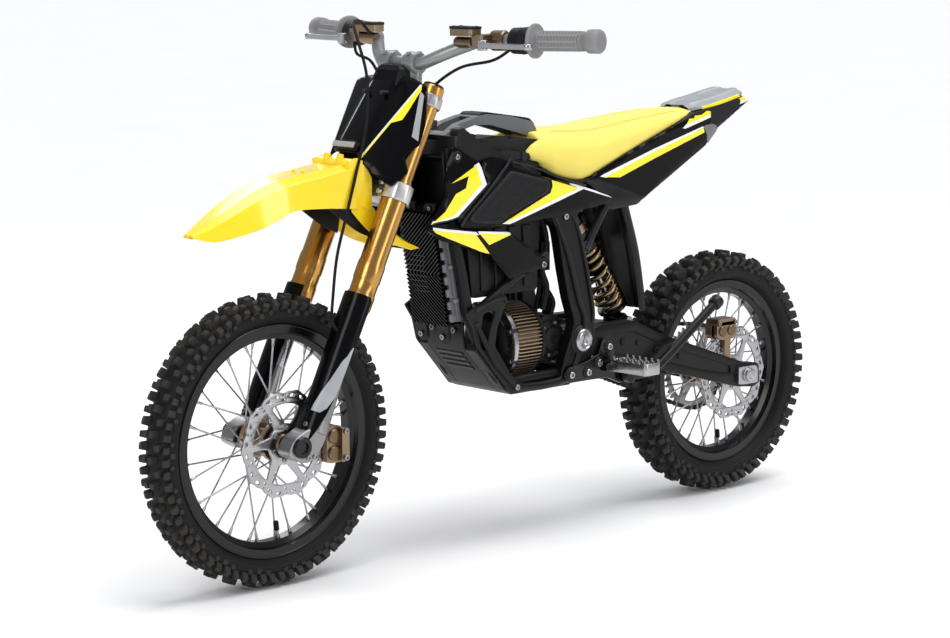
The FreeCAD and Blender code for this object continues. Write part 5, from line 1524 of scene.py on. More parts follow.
def main_frame():
    """Cast side beams with a raised rib, the head tube, down tubes and cross members."""
    beam = [(-198, 704), (-150, 664), (-60, 622), (20, 580), (44, 540), (58, 470), (70, 420), (86, 376),
            (72, 340),
            (58, 306), (50, 278), (66, 270), (106, 272), (124, 296), (134, 330), (137, 374), (124, 440),
            (98, 520),
            (88, 574), (70, 600), (-40, 662), (-140, 708), (-186, 738)]
    left = Shape()
    left.prism(rounded(beam, 10), 60, 84)
    piece("frame_beams", left.both_sides(), "chassis", ["black_frame"], bevel=6.0, segments=4,
          stands_for=("main_frame",))
    rib = Shape()
    line = [(84, 36, 566), (85, 66, 500), (85.5, 92, 420), (85.5, 108, 376), (85, 92, 318), (84, 78, 288)]
    rib.tube(smooth_line(line, 6), [2, 3, 4] + [5] * 25 + [4, 3, 2], 12)
    line = [(82, 60, 596), (84.5, 92, 540), (85.5, 112, 470), (85.5, 128, 400), (84, 130, 372)]
    rib.tube(smooth_line(line, 6), 3.4, 10)
    for radius, low, high in ((26, 80, 87), (22, 84, 89)):
        rib.lathe([(low, radius - 1), (high - 1.5, radius), (high, radius - 1.5), (high, 12)],
                  (0, PIVOT.y, PIVOT.z),
                  (1, 0, 0), 40)
    piece("frame_ribs", rib.both_sides(), "chassis", ["black_frame"], sharp=40)

    tubes = Shape()
    for side in (1, -1):
        down = [(side * 58, -194, 700), (side * 60, -184, 570), (side * 60, -166, 480),
                (side * 60, -146, 404),
                (side * 62, -100, 316), (side * 64, -66, 287), (side * 64, 0, 286), (side * 64, 66, 286)]
        tubes.tube(smooth_line(down, 8), 11.0, 18)
        tubes.tube(smooth_line([(side * 60, -148, 410), (side * 66, -120, 424), (side * 68, -40, 470),
                                (side * 66, 30, 500)], 8), 9.0, 16)
    head = FORK @ Vector((0, 24, 168))
    up = FORK @ Vector((0, 24, 299))
    tubes.lathe([(0, 22), (0, 29), (10, 29), (14, 26), (118, 26), (122, 29), (131, 29), (131, 22)], head,
                up - head,
                48)
    for lift, height in ((0, 22), (38, 16)):
        tubes.prism([(-264 + lift * 0.3, 690 + lift), (-190, 690 + lift), (-190, 690 + lift + height),
                     (-258 + lift * 0.3, 690 + lift + height)], -40 + lift * 0.3, 40 - lift * 0.3)
    tubes.box((-82, -200, 692), (82, -188, 720))
    for y, z, r in ((106, 548, 10), (80, 288, 8), (-146, 404, 8)):
        tubes.lathe([(-62, r), (62, r)], (0, y, z), (1, 0, 0), 24)
    for side in (1, -1):
        tubes.prism(rounded([(100, 540), (112, 580), (150, 584), (152, 560), (136, 540)], 6),
                    *sorted((side * 20.0, side * 26.0)))
    piece("frame_tubes", tubes, "chassis", ["black_frame"], sharp=38)

    bolts = Shape()
    for side in (1, -1):
        bolts.paint = 0
        bolts.lathe([(86, 20), (92, 20), (94.5, 18), (95.5, 15), (93.5, 13.5), (92.5, 9), (90, 7)],
                    (0, PIVOT.y, PIVOT.z), (side, 0, 0), 44)
        for y, z in ((161, 326), (136, 300), (108, 286), (66, 286)):
            bolts.paint = 1
            bolts.lathe([(91, 10.5), (93.5, 10.5), (94.5, 9.4)], (0, y, z), (side, 0, 0), 26)
            bolts.paint = 0
            bolts.bolt((side * 93.5, y, z), (side, 0, 0), 6.2, 4.4)
        bolts.bolt((side * 84, 60, 566), (side, 0, 0), 5.5, 4)
        bolts.bolt((side * 26, 140, 572), (side, 0, 0), 7.5, 4)
        bolts.bolt((side * 80, -180, 560), (side, 0, 0), 4.0, 3)
    piece("frame_screws", bolts, "chassis", ["silver", "black_plastic"], stands_for=("frame_bolts",))


def subframe():
    """Seat rails, slanted struts, the tall inner mudguard and the pan under the seat."""
    rails = Shape()
    for side in (1, -1):
        rails.tube(smooth_line([(side * 50, 86, 600), (side * 50, 170, 608), (side * 50, 260, 624),
                                (side * 47, 345, 664), (side * 44, 428, 707)], 6), 9.0, 16)
        rails.tube(smooth_line([(side * 72, 120, 502), (side * 69, 150, 541), (side * 62, 194, 592),
                                (side * 50, 226, 616)], 6), 8.5, 16)
        rails.lathe([(-4, 11), (4, 11)], (side * 72, 122, 506), (side, 0, 0), 24)
    for y, z in ((150, 608), (400, 692)):
        rails.lathe([(-49, 7.5), (49, 7.5)], (0, y, z), (1, 0, 0), 18)
    piece("subframe_rails", rails, "chassis", ["black_steel"], sharp=40, stands_for=("subframe",))

    guard = Shape()
    rows = []
    for y, z in smooth_line_2d([(250, 589), (262, 552), (284, 486), (299, 412), (304, 374)], 6):
        section = [(0, 0), (16, 0), (18, 3), (30, 3), (32, 0), (46, 0), (52, -10), (53, -22)]
        rows.append([(x, y - 1 + d, z) for x, d in section])
    rings = []
    for row in rows:
        outer = [Vector((-x, y, z)) for x, y, z in reversed(row[1:])] + [Vector(p) for p in row]
        inner = [p + Vector((0, 3.2, 0.6)) for p in outer]
        rings.append(outer + list(reversed(inner)))
    guard.skin(rings)
    piece("inner_mudguard_shell", guard, "chassis", ["black_plastic"], bevel=0.8, segments=2,
          stands_for=("inner_mudguard",))
    base = Shape()
    base.prism(rounded([(44, 628), (150, 628), (300, 664), (420, 716), (424, 728), (300, 680), (150, 640),
                        (95, 636), (40, 650)], 3), -58, 58)
    piece("seat_base_pan", base, "chassis", ["black_plastic"], bevel=1.5, stands_for=("seat_base",))


def swingarm():
    """Forged arms with recessed flanks, the bridge, chain guide and axle adjusters."""
    arm = [(120, 332), (122, 356), (150, 366), (238, 364), (308, 332), (470, 276), (538, 252), (580, 247),
           (585, 210), (568, 202), (520, 208), (418, 236), (278, 272), (190, 292), (150, 300), (128, 314)]
    recess = [(176, 346), (236, 344), (306, 314), (500, 250), (500, 236), (420, 252), (280, 290),
              (180, 312)]
    shape = Shape()
    shape.prism(rounded(arm, 8), 62, 80)
    shape.plate([rounded(arm, 8), rounded(recess, 6)], 79, 83.4, "x", 1.2)
    for y, z, r in ((212, 328, 7), (250, 322, 5), (300, 302, 6), (360, 284, 5)):
        shape.lathe([(79, r), (82.4, r), (82.6, r - 1)], (0, y, z), (1, 0, 0), 20)
    shape.both_sides()
    shape.prism(rounded([(150, 300), (284, 300), (276, 330), (262, 352), (150, 352)], 6), -62, 62)
    shape.lathe([(-59, 10), (-37, 10), (-36, 15), (58, 15), (59.3, 14)], (0, PIVOT.y, PIVOT.z), (1, 0, 0),
                36)
    shape.prism(rounded([(106, 322), (152, 322), (152, 350), (106, 350)], 4), -34, 58)
    for side in (1, -1):
        shape.prism(rounded([(260, 326), (262, 356), (280, 366), (294, 354), (292, 330)], 6),
                    *sorted((side * 14.0, side * 20.0)))
    piece("swingarm_forging", shape, "rear_arm", ["black_frame"], bevel=2.6, segments=3,
          stands_for=("swingarm",))

    ends = Shape()
    for side in (1, -1):
        ends.paint = 0
        block = rounded([(REAR.y - 27, REAR.z - 15), (REAR.y - 27, REAR.z + 17), (REAR.y + 20, REAR.z + 17),
                         (REAR.y + 27, REAR.z + 9), (REAR.y + 27, REAR.z - 17),
                         (REAR.y - 12, REAR.z - 17)], 4)
        ends.prism(block, *sorted((side * 83.3, side * 90.5)))
        ends.lathe([(90, 14.5), (92, 14.5), (92.4, 12.5), (97.4, 12.5), (98, 11.5), (98, 6), (96, 5)],
                   (0, REAR.y, REAR.z), (side, 0, 0), 6 * 4)
        ends.paint = 1
        ends.lathe([(0, 3.2), (22, 3.2)], (side * 72, 566, 226), (0, 1, 0), 12)
        ends.lathe([(0, 6.4), (5, 6.4)], (side * 72, 585, 226), (0, 1, 0), 6)
    piece("axle_adjusters", ends, "rear_arm", ["silver", "steel"], bevel=0.8, stands_for=("rear_axle",))
    foot = Shape()
    foot.lathe([(-30, 7.5), (-22, 7.5), (-21, 5), (21, 5), (22, 7.5), (30, 7.5)], (0, 281, 354),
               (1, 0, 0), 24)
    piece("shock_foot_bolt", foot, "rear_arm", ["silver"])


# ---------------------------------------------------------------- shock

SHOCK_TOP = Vector((0, 140, 572))
SHOCK_FOOT = Vector((0, 281, 354))


def shock():
    """Coil-over shock: body with piggyback reservoir, coil and shaft."""
    run = SHOCK_FOOT - SHOCK_TOP
    along = run.normalized()
    length = run.length
    body = Shape()
    body.paint = 0
    body.lathe([(-19, 9), (-19, 12.5), (19, 12.5), (19, 9)], SHOCK_TOP, (1, 0, 0), 32)
    body.lathe([(9, 14), (14, 19), (38, 19.4), (40, 17.6)], SHOCK_TOP, along, 44)
    body.paint = 1
    body.lathe([(40, 18.6), (42, 20), (58, 20), (60, 18.2)], SHOCK_TOP, along, 44)
    body.paint = 0
    body.lathe([(60, 18), (82, 18)], SHOCK_TOP, along, 44)
    body.lathe([(79, 24), (80, 27.5), (91, 28.5), (92, 27), (92, 16)], SHOCK_TOP, along, 24)
    body.lathe([(88, 17.4), (148, 17.2), (150, 15), (150, 8)], SHOCK_TOP, along, 40)
    piece("shock_body_tube", body, "shock_upper", ["black_alloy", "bronze"], sharp=30,
          stands_for=("shock_body",))

    tank_start, tank_end = Vector((-30, 193, 547)), Vector((-30, 253, 480))
    tank = Shape()
    down = (tank_end - tank_start).normalized()
    full = (tank_end - tank_start).length
    tank.lathe([(0, 10), (1, 16), (5, 18.6), (20, 18.8), (22, 17.8)], tank_start, down, 40)
    tank.paint = 1
    tank.lathe([(22, 18.4), (24, 18.8), (full - 24, 18.8), (full - 22, 18)], tank_start, down, 40)
    tank.paint = 0
    tank.lathe([(full - 22, 18.6), (full - 19, 19), (full - 6, 19), (full - 1, 17), (full, 12), (full, 7)],
               tank_start, down, 40)
    tank.paint = 1
    link = SHOCK_TOP + along * 28
    tank.tube(smooth_line([link, link.lerp(Vector((-30, 200, 539)), 0.5) + Vector((0, 4, 3)),
                           (-30, 200, 539)], 5),
              8.0, 14)
    piece("shock_reservoir", tank, "shock_upper", ["bronze", "black_alloy"], sharp=30)

    shaft = Shape()
    shaft.lathe([(136, 6.9), (length - 40, 6.9)], SHOCK_TOP, along, 24)
    shaft.paint = 1
    shaft.lathe([(length - 46, 9), (length - 40, 11), (length - 33, 12), (length - 33, 27),
                 (length - 31, 28.4),
                 (length - 26, 28.4), (length - 24, 20), (length - 12, 11)], SHOCK_TOP, along, 40)
    shaft.lathe([(-13.4, 8), (-13.4, 12), (13.4, 12), (13.4, 8)], SHOCK_FOOT, (1, 0, 0), 28)
    piece("shock_shaft_rod", shaft, "shock_lower", ["silver", "black_alloy"], sharp=30,
          stands_for=("shock_shaft",))

    coil = Shape()
    wire = 4.5
    mean = 24.5
    start, stop = 92.5 + wire, length - 33.5 - wire
    _, first, second = square_to(along)
    turns = 7.2
    steps = 220
    line = []
    for i in range(steps + 1):
        share = i / steps
        angle = 2 * math.pi * turns * share
        eased = share - 0.035 * math.sin(2 * math.pi * share)
        centre = SHOCK_TOP + along * (start + (stop - start) * eased)
        line.append(centre + first * (mean * math.cos(angle)) + second * (mean * math.sin(angle)))
    coil.tube(line, wire, 12)
    spring = piece("shock_coil", coil, "shock_upper", ["spring_bronze"], sharp=60,
                   stands_for=("shock_spring",))
    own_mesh(spring)


# ---------------------------------------------------------------- handlebar and controls

BAR_LINE = [(50, -243, 842), (104, -206, 869), (134, -182, 881), (352.5, -131, 885)]
BAR_AXIS = (Vector(BAR_LINE[3]) - Vector(BAR_LINE[2])).normalized()


def bar_at(across):
    """Point on the left half of the bar's outer run."""
    start = Vector(BAR_LINE[2])
    return start + BAR_AXIS * ((across - start.x) / BAR_AXIS.x)


def handlebar():
    """Bar tube, risers and clamps."""
    left = [Vector(p) for p in smooth_line([(50, -243, 842), (78, -226, 856), (106, -204, 870),
                                            (136, -182, 881),
                                            (200, -166.6, 882.2), (352.5, -131, 885)], 7)]
    right = [Vector((-p.x, p.y, p.z)) for p in reversed(left)]
    bar = Shape()
    bar.tube(right + left, 11.0, 22)
    piece("handlebar_tube", bar, "steering", ["bar_grey"], sharp=50, stands_for=("handlebar",))

    clamps = Shape()
    for side in (1, -1):
        low = FORK @ Vector((side * 30, 2, 321))
        high = Vector((side * 30, -243, 842))
        clamps.lathe([(0, 17), (4, 17), (8, 14), ((high - low).length - 6, 14)], low, high - low, 28)
        clamps.lathe([(-13.5, 17), (-12, 19), (12, 19), (13.5, 17)], high, (1, 0, 0), 36)
        for y in (-15, 15):
            clamps.bolt(high + Vector((0, y * 0.8, 14)), (0, 0, 1), 4.2, 5)
    piece("bar_clamps", clamps, "steering", ["bar_grey"], bevel=0.6, segments=1)

    rings = Shape(FORK)
    for lows, highs, ring in ((134, 164, 27.0), (302, 322, 23.5)):
        half = rounded([(-74, ring - 2), (-30, 40), (30, 40), (74, ring - 2), (74 + ring * 0.7, ring * 0.7),
                        (74 + ring, 0), (74 + ring * 0.7, -ring * 0.7), (74, -ring + 1), (34, -16),
                        (-34, -16),
                        (-74, -ring + 1), (-74 - ring * 0.7, -ring * 0.7), (-74 - ring, 0),
                        (-74 - ring * 0.7, ring * 0.7)], 5)
        bore = 22.2 if lows < 200 else 19.6
        holes = [[(side * LEG_X + u, v) for u, v in ring_of(bore, 36)] for side in (1, -1)]
        rings.plate([half] + holes, lows, highs, "z", 1.4)
        for side in (1, -1):
            for lift in (7, highs - lows - 7):
                rings.bolt((side * 62, -ring + 1, lows + lift), (0, -1, 0), 4.6, 4)
    rings.lathe([(322, 15), (328, 15), (330, 13), (330, 6)], (0, 24, 0), (0, 0, 1), 6)
    for side in (1, -1):
        rings.lathe([(322, 17), (326, 17), (328, 14), (328, 6)], (side * LEG_X, 0, 0), (0, 0, 1), 30)
    piece("fork_clamps", rings, "steering", ["zinc"], bevel=1.6, segments=2,
          stands_for=("lower_clamp", "upper_clamp"))


def grip_pair():
    """Ribbed grips with flanges and end plugs."""
    for side, body, node in ((1, "steering", "grip_left"), (-1, "throttle", "throttle_grip")):
        grip = Shape()
        start = bar_at(229)
        stop = bar_at(355)
        full = (stop - start).length
        axis = Vector((BAR_AXIS.x * side, BAR_AXIS.y, BAR_AXIS.z))
        origin = Vector((start.x * side, start.y, start.z))
        profile = [(0, 13), (0.4, 27), (2, 28.6), (5.5, 28.6), (7.2, 26), (9, 17.4)]
        reach = 12.0
        while reach < 96:
            profile += [(reach, 15.4), (reach + 1.2, 16.4), (reach + 3.8, 16.4), (reach + 5, 15.4)]
            reach += 6.2
        profile += [(full - 25, 16.4), (full - 22, 19.4), (full - 4, 19.8), (full - 1, 18), (full, 14),
                    (full, 3)]
        grip.lathe(profile, origin, axis, 40)
        _, first, second = square_to(axis)
        for row in range(10):
            turn = 2 * math.pi * row / 10
            out = first * math.cos(turn) + second * math.sin(turn)
            low = origin + axis * 18 + out * 15.8
            high = origin + axis * 92 + out * 15.8
            grip.tube([low, low.lerp(high, 0.5), high], 1.7, 6)
        piece(node + "_sleeve", grip, body, ["grey_rubber"], sharp=45, stands_for=(node,))


def control_clusters():
    """Switch housings, buttons, master cylinders, levers and bar cables."""
    shells = Shape()
    for side in (1, -1):
        axis = Vector((BAR_AXIS.x * side, BAR_AXIS.y, BAR_AXIS.z))
        spot = bar_at(190)
        origin = Vector((spot.x * side, spot.y, spot.z))
        shells.paint = 0
        shells.lathe([(0, 12), (0, 18), (3, 21.4), (16, 22), (17.6, 20.8), (19.2, 22), (33, 21.4),
                      (37, 18), (37, 12)],
                     origin, axis, 34)
        middle_spot = origin + axis * 18
        shells.bolt(middle_spot + Vector((0, 6, -19)), (0, 0.3, -1), 4, 3)
        button = bar_at(208)
        centre = Vector((button.x * side, button.y, button.z))
        shells.lathe([(14, 8.5), (21.6, 8.5), (22.2, 7.6), (22.2, 5.2), (14.5, 5.2)], centre,
                     (0, 0.6, 0.8), 26)
    piece("switch_shells", shells, "steering", ["black_plastic"], bevel=0.5, segments=1,
          stands_for=("switch_housings",))
    for side, body, node, paint in ((1, "button_mode", "mode_button", "blue"),
                                    (-1, "button_stop", "stop_button", "grey_print_and_painted_highlight")):
        cap = Shape()
        button = bar_at(208)
        centre = Vector((button.x * side, button.y, button.z))
        cap.lathe([(19, 4.3), (24.6, 4.4), (25.8, 3.4), (26, 1.5)], centre, (0, 0.6, 0.8), 24)
        piece(node + "_cap", cap, body, [paint], sharp=40, stands_for=(node,))

    tanks = Shape()
    for side in (1, -1):
        axis = Vector((BAR_AXIS.x * side, BAR_AXIS.y, BAR_AXIS.z))
        spot = bar_at(152)
        origin = Vector((spot.x * side, spot.y, spot.z))
        tanks.paint = 0
        tanks.lathe([(0, 12), (0, 15), (2, 17), (24, 17), (26.6, 15), (26.6, 12)], origin, axis, 30)
        low, high = sorted((side * 95.0, side * 147.0))
        tanks.prism(rounded([(low, -225), (low, -197), (high, -197), (high, -225)], 6), 889, 900.5, "z")
        low, high = sorted((side * 141.0, side * 166.0))
        tanks.prism(rounded([(low, -218), (low, -189), (high, -189), (high, -218)], 4), 871, 892, "z")
        spot = Vector((side * 120, -211, 878))
        tanks.lathe([(-20, 8), (-18, 9.6), (18, 9.6), (20, 7)], spot, (1, 0, 0), 26)
        tanks.paint = 1
        low, high = sorted((side * 94.4, side * 147.6))
        tanks.prism(rounded([(low, -225.6), (low, -196.4), (high, -196.4), (high, -225.6)], 6), 900.5,
                    905, "z")
        tanks.paint = 2
        for x in (102, 140):
            for y in (-219, -203):
                tanks.bolt((side * x, y, 905), (0, 0, 1), 2.6, 1)
    piece("master_cylinder_bodies", tanks, "steering", ["bronze", "black_plastic", "steel"], bevel=1.2,
          segments=2,
          stands_for=("master_cylinders",))

    for side, node, body in ((1, "brake_lever_left", "lever_left"),
                             (-1, "brake_lever_right", "lever_right")):
        hinge = Vector((176, bar_at(176).y - 52, 876))
        outline = [(-4, -8), (26, -11), (48, -9), (70, -6), (98, 1), (100, 8), (96, 11), (70, 4), (48, 1),
                   (26, 0),
                   (8, 7), (-4, 8)]
        blade = Shape()
        points = [((hinge.x + u) * side, hinge.y + v) for u, v in outline]
        blade.prism(points if side > 0 else list(reversed(points)), 871.4, 880.6, "z")
        tip = hinge + Vector((98, 7, 0))
        blade.lathe([(-6.0, 3), (-5, 6.4), (-2, 7.4), (2, 7.4), (5, 6.4), (6, 3)],
                    (tip.x * side, tip.y, 876),
                    (0, 0, 1), 26)
        blade.lathe([(-8.6, 5), (-8.4, 8.4), (8.4, 8.4), (8.6, 5)], (hinge.x * side, hinge.y, 876),
                    (0, 0, 1), 28)
        piece(node + "_blade", blade, body, ["silver"], bevel=1.4, segments=2, stands_for=(node,))

    cables = Shape()
    cables.tube(smooth_line([(196, -180, 868), (170, -196, 850), (110, -214, 836), (60, -232, 800),
                             (34, -232, 760)], 8), 2.6, 10)
    cables.tube(smooth_line([(-196, -180, 868), (-170, -196, 848), (-110, -216, 838), (-60, -232, 800),
                             (-34, -232, 760)], 8), 2.6, 10)
    piece("bar_cables", cables, "steering", ["rubber"])


def front_hose():
    """Brake hose from the bar down to the fork guard."""
    route = [(-92, -234, 888), (-80, -266, 908), (-46, -310, 908), (-4, -336, 880), (24, -342, 824),
             (38, -354, 752), (50, -388, 672), (57, -416, 604), (70, -448, 540), (80, -466, 476),
             (82, -470, 440), (80, -458, 420)]
    hose = Shape()
    hose.tube(smooth_line(route, 8), 2.6, 12)
    made = piece("brake_hose_run", hose, "steering", ["rubber"], sharp=60, stands_for=("front_brake_hose",))
    made.parent = None
    del made["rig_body"]
    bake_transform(made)


# ---------------------------------------------------------------- calipers, pegs and stand

def calipers():
    """Calipers with their bridges, piston bosses and bolts."""
    y, z = FRONT.y + 92, FRONT.z - 12
    front = Shape()
    inner = rounded([(y - 16, z - 28), (y - 16, z + 28), (y - 8, z + 30.5), (y + 16, z + 30.5),
                     (y + 16, z - 30.5),
                     (y - 8, z - 30.5)], 6)
    front.prism(inner, 29, 45)
    front.prism(inner, 51, 62)
    front.prism(rounded([(y + 8, z - 30), (y + 8, z + 30), (y + 23.5, z + 26), (y + 23.5, z - 26)], 5),
                30, 73)
    for lift in (-14, 14):
        front.lathe([(60, 12), (65, 12), (66.5, 10.5), (66.5, 4)], (0, y - 1, z + lift), (1, 0, 0), 30)
    front.paint = 1
    for lift in (-22, 22):
        front.bolt((73, y + 15.5, z + lift), (1, 0, 0), 5, 4)
    front.bolt((62, y + 12, z), (1, 0, 0), 3.4, 4)
    piece("front_caliper_body", front, "fork_slider", ["bronze", "steel"], bevel=1.8, segments=2,
          stands_for=("front_caliper",))

    y, z = REAR.y - 28, REAR.z + 84
    rear = Shape()
    shape = rounded([(y - 28, z - 12), (y - 28, z + 12), (y - 18, z + 17), (y + 18, z + 17),
                     (y + 28, z + 10),
                     (y + 28, z - 14), (y + 14, z - 17), (y - 16, z - 17)], 6)
    rear.prism(shape, 30, 46)
    rear.prism(shape, 52, 60)
    rear.prism(rounded([(y - 28, z + 10), (y - 24, z + 23), (y + 24, z + 23), (y + 28, z + 10)], 4), 30, 60)
    for along in (-12, 12):
        rear.lathe([(58, 10), (62, 10), (63.4, 8.6), (63.4, 3)], (0, y + along, z), (1, 0, 0), 28)
    rear.paint = 1
    for along in (-22, 22):
        rear.bolt((60, y + along, z + 15), (1, 0, 0), 4, 3.4)
    rear.paint = 0
    rear.prism(rounded([(y - 5, REAR.z + 26), (y - 6, z - 10), (y + 12, z - 10), (y + 9, REAR.z + 26)],
                       3), 53.2, 59.8)
    piece("rear_caliper_body", rear, "rear_arm", ["bronze", "steel"], bevel=1.6, segments=2,
          stands_for=("rear_caliper",))


def pegs_and_stand():
    """Toothed folding pegs, their brackets and the kickstand."""
    bracket = [(148, 342), (172, 338), (182, 300), (222, 283), (224, 258), (196, 255), (160, 270),
               (110, 271),
               (62, 271), (50, 286), (62, 299), (108, 305), (138, 315)]
    mounts = Shape()
    mounts.prism(rounded(bracket, 6), 86, 92)
    mounts.prism(rounded([(148, 283), (148, 297), (184, 297), (184, 283)], 3), 91, 101)
    mounts.both_sides()
    piece("peg_bracket_plates", mounts, "chassis", ["black_alloy"], bevel=1.6, segments=2,
          stands_for=("peg_brackets",))

    for side, node, body in ((1, "footpeg_left", "peg_left"), (-1, "footpeg_right", "peg_right")):
        peg = Shape()
        low, high = sorted((side * 108.0, side * 198.0))
        outer = rounded([(low, 146), (low, 186), (high, 186), (high, 146)], 8)
        hole_a = rounded([(low + 6, 152), (low + 6, 163), (high - 6, 163), (high - 6, 152)], 3)
        hole_b = rounded([(low + 6, 169), (low + 6, 180), (high - 6, 180), (high - 6, 169)], 3)
        peg.plate([outer, hole_a, hole_b], 286, 307, "z", 1.2)
        for i in range(6):
            x = side * (117 + 15 * i)
            for y in (149, 183):
                peg.prism([(x - 4, 305), (x - 1.6, 312.6), (x + 1.6, 312.6), (x + 4, 305)], y - 2.4,
                          y + 2.4, "y")
        for i in range(5):
            x = side * (124 + 15 * i)
            peg.prism([(x - 3.4, 305), (x - 1.2, 310.6), (x + 1.2, 310.6), (x + 3.4, 305)], 164.4, 167.6,
                      "y")
        peg.lathe([(-17, 6.4), (-15.6, 7.4), (15.6, 7.4), (17, 6.4)], (side * 106, 166, 292), (0, 1, 0), 24)
        piece(node + "_deck", peg, body, ["silver"], bevel=0.7, segments=1, stands_for=(node,))

    stand = Shape()
    leg = smooth_line([(101, 206, 269), (101, 236, 268), (101, 270, 273), (101, 304, 292), (101, 370, 335),
                       (101, 436, 378)], 7)
    stand.tube(leg, 8.4, 18)
    stand.lathe([(92.6, 10), (94, 12), (107.5, 12), (109, 10), (109, 5)], (0, 206, 269), (1, 0, 0), 30)
    stand.lathe([(-2, 8), (0, 12), (3, 13), (14, 13), (17.6, 11.4), (18.6, 8)], (101, 430, 374),
                (0, 16, 10.4), 30)
    piece("kickstand_leg", stand, "stand", ["black_steel"], sharp=42, stands_for=("kickstand",))
# ---------------------------------------------------------------- assembly

repaint({
    "main_frame": "black_frame", "frame_bolts": "steel", "subframe": "black_frame",
    "battery_case": "black_plastic", "battery_lid": "black_plastic", "battery_handle": "grey_plastic",
    "controller_heat_sink": "black_alloy", "motor_housing": "bronze", "gear_case": "black_plastic",
    "skid_plate": "black_plastic", "bash_guards": "black_plastic", "shrouds": "gloss_black",
    "side_panels": "gloss_black", "seat": "seat_yellow", "seat_base": "black_plastic",
    "tail_cover": "gloss_black", "inner_mudguard": "black_plastic", "peg_brackets": "black_frame",
    "lower_clamp": "zinc", "upper_clamp": "zinc", "steering_stem": "zinc", "handlebar": "bar_grey",
    "grip_left": "grey_rubber", "throttle_grip": "grey_rubber", "switch_housings": "black_plastic",
    "master_cylinders": "bronze", "number_plate": "gloss_black", "front_fender": "yellow",
    "front_brake_hose": "rubber", "front_caliper": "bronze", "rear_caliper": "bronze",
    "front_rim": "black_alloy", "rear_rim": "black_alloy", "front_spokes": "silver",
    "rear_spokes": "silver", "front_hub": "bronze", "rear_hub": "bronze", "swingarm": "black_frame",
    "rear_axle": "silver", "drive_sprocket": "steel", "shock_body": "black_alloy",
    "shock_spring": "spring_bronze", "shock_shaft": "silver", "brake_lever_left": "silver",
    "brake_lever_right": "silver", "mode_button": "rubber", "stop_button": "rubber",
    "kickstand": "black_steel", "footpeg_left": "silver", "footpeg_right": "silver",
})
FRONT_FLANGE = 191.0
REAR_FLANGE = 172.0
tyre("front_tyre", "front_wheel", FRONT, 67.0, FRONT_FLANGE, 36, 10.5, None)
tyre("rear_tyre", "rear_wheel", REAR, 78.0, REAR_FLANGE, 30, 12.5, "blue")
wheel_fittings("front", "front_wheel", FRONT, FRONT_FLANGE)
wheel_fittings("rear", "rear_wheel", REAR, REAR_FLANGE)
wave_disc("front_brake_disc", "front_wheel", FRONT, 46.0, 3.5)
wave_disc("rear_brake_disc", "rear_wheel", REAR, 47.0, 3.5)
toothed_ring("rear_sprocket", "rear_wheel", REAR, TEETH_REAR, CHAIN_LINE, 5.0, 22.0, 3.2)
chain()
fork_outer()
guard_shell()
axle_feet()
shroud_panels()
side_covers()
number_plate()
front_fender()
seat()
tail()
battery_top()
heat_sink()
motor()
skid_parts()
main_frame()
subframe()
swingarm()
shock()
handlebar()
grip_pair()
control_clusters()
front_hose()
calipers()
pegs_and_stand()


# ---------------------------------------------------------------- stage

CAMERA_AZIMUTH = math.radians(46.115)
CAMERA_HEIGHT = math.radians(8.503)
CAMERA_DISTANCE = 4.7032
CAMERA_TARGET = Vector((0, 0.00996, 0.39552))
CAMERA_LENS = 101.2
CAMERA_SHIFT = (-0.0381, -0.0084)
FLOOR_HALF = 30
SKY_ENERGY = 2.6
SKY_ANGLE = math.radians(50)
WORLD_STRENGTH = 0.42


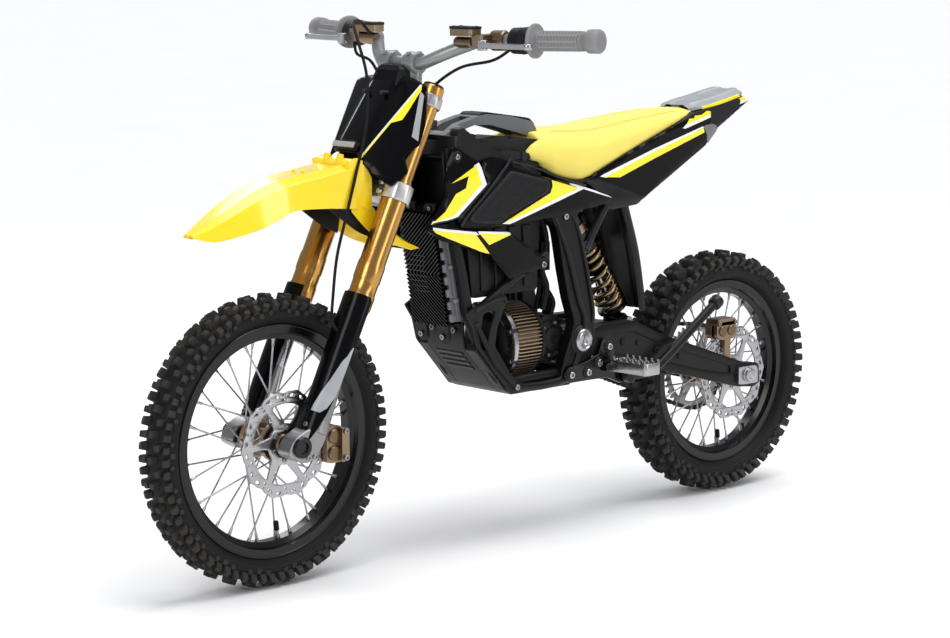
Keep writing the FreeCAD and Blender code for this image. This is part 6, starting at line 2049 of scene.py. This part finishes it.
def studio():
    """Pale floor, soft lights, and a camera at the photograph's viewing angle."""
    made = bpy.data.meshes.new("floor")
    corners = [
        (-FLOOR_HALF, -FLOOR_HALF, 0),
        (FLOOR_HALF, -FLOOR_HALF, 0),
        (FLOOR_HALF, FLOOR_HALF, 0),
        (-FLOOR_HALF, FLOOR_HALF, 0),
    ]
    made.from_pydata(corners, [], [(0, 1, 2, 3)])
    floor = bpy.data.objects.new("floor", made)
    bpy.context.scene.collection.objects.link(floor)
    made.materials.append(finish("floor_paint", (0.86, 0.86, 0.86), 0.75, vary=0.99, grain=2, bump=0.0))
    world = bpy.data.worlds.new("studio")
    world.use_nodes = True
    world.node_tree.nodes["Background"].inputs["Color"].default_value = (0.93, 0.95, 1.0, 1)
    world.node_tree.nodes["Background"].inputs["Strength"].default_value = WORLD_STRENGTH
    bpy.context.scene.world = world
    bpy.context.scene.view_settings.view_transform = "Standard"

    def lamp(name, at, aim, size, power):
        data = bpy.data.lights.new(name, "AREA")
        data.shape = "RECTANGLE"
        data.size, data.size_y = size
        data.energy = power
        holder = bpy.data.objects.new(name, data)
        bpy.context.scene.collection.objects.link(holder)
        holder.location = at
        holder.rotation_mode = "QUATERNION"
        holder.rotation_quaternion = (Vector(aim) - Vector(at)).to_track_quat("-Z", "Y")

    sun = bpy.data.lights.new("sky_panel", "SUN")
    sun.energy = SKY_ENERGY
    sun.angle = SKY_ANGLE
    holder = bpy.data.objects.new("sky_panel", sun)
    bpy.context.scene.collection.objects.link(holder)
    holder.rotation_euler = (math.radians(-16), math.radians(8), 0)
    lamp("key", (1.0, -3.0, 2.2), (0, -0.1, 0.5), (1.0, 1.8), 34)
    lamp("side", (3.4, 0.9, 1.5), (0, 0.1, 0.4), (0.8, 2.2), 24)
    lamp("far", (-2.8, 0.9, 2.2), (0, 0, 0.5), (1.2, 2.0), 22)

    data = bpy.data.cameras.new("camera")
    camera = bpy.data.objects.new("camera", data)
    bpy.context.scene.collection.objects.link(camera)
    back = Vector((
        math.sin(CAMERA_AZIMUTH) * math.cos(CAMERA_HEIGHT),
        -math.cos(CAMERA_AZIMUTH) * math.cos(CAMERA_HEIGHT),
        math.sin(CAMERA_HEIGHT),
    ))
    camera.location = CAMERA_TARGET + back * CAMERA_DISTANCE
    camera.rotation_mode = "QUATERNION"
    camera.rotation_quaternion = (-back).to_track_quat("-Z", "Y")
    data.sensor_width = 36
    data.lens = CAMERA_LENS
    data.shift_x, data.shift_y = CAMERA_SHIFT
    data.clip_end = 200
    bpy.context.scene.camera = camera


studio()
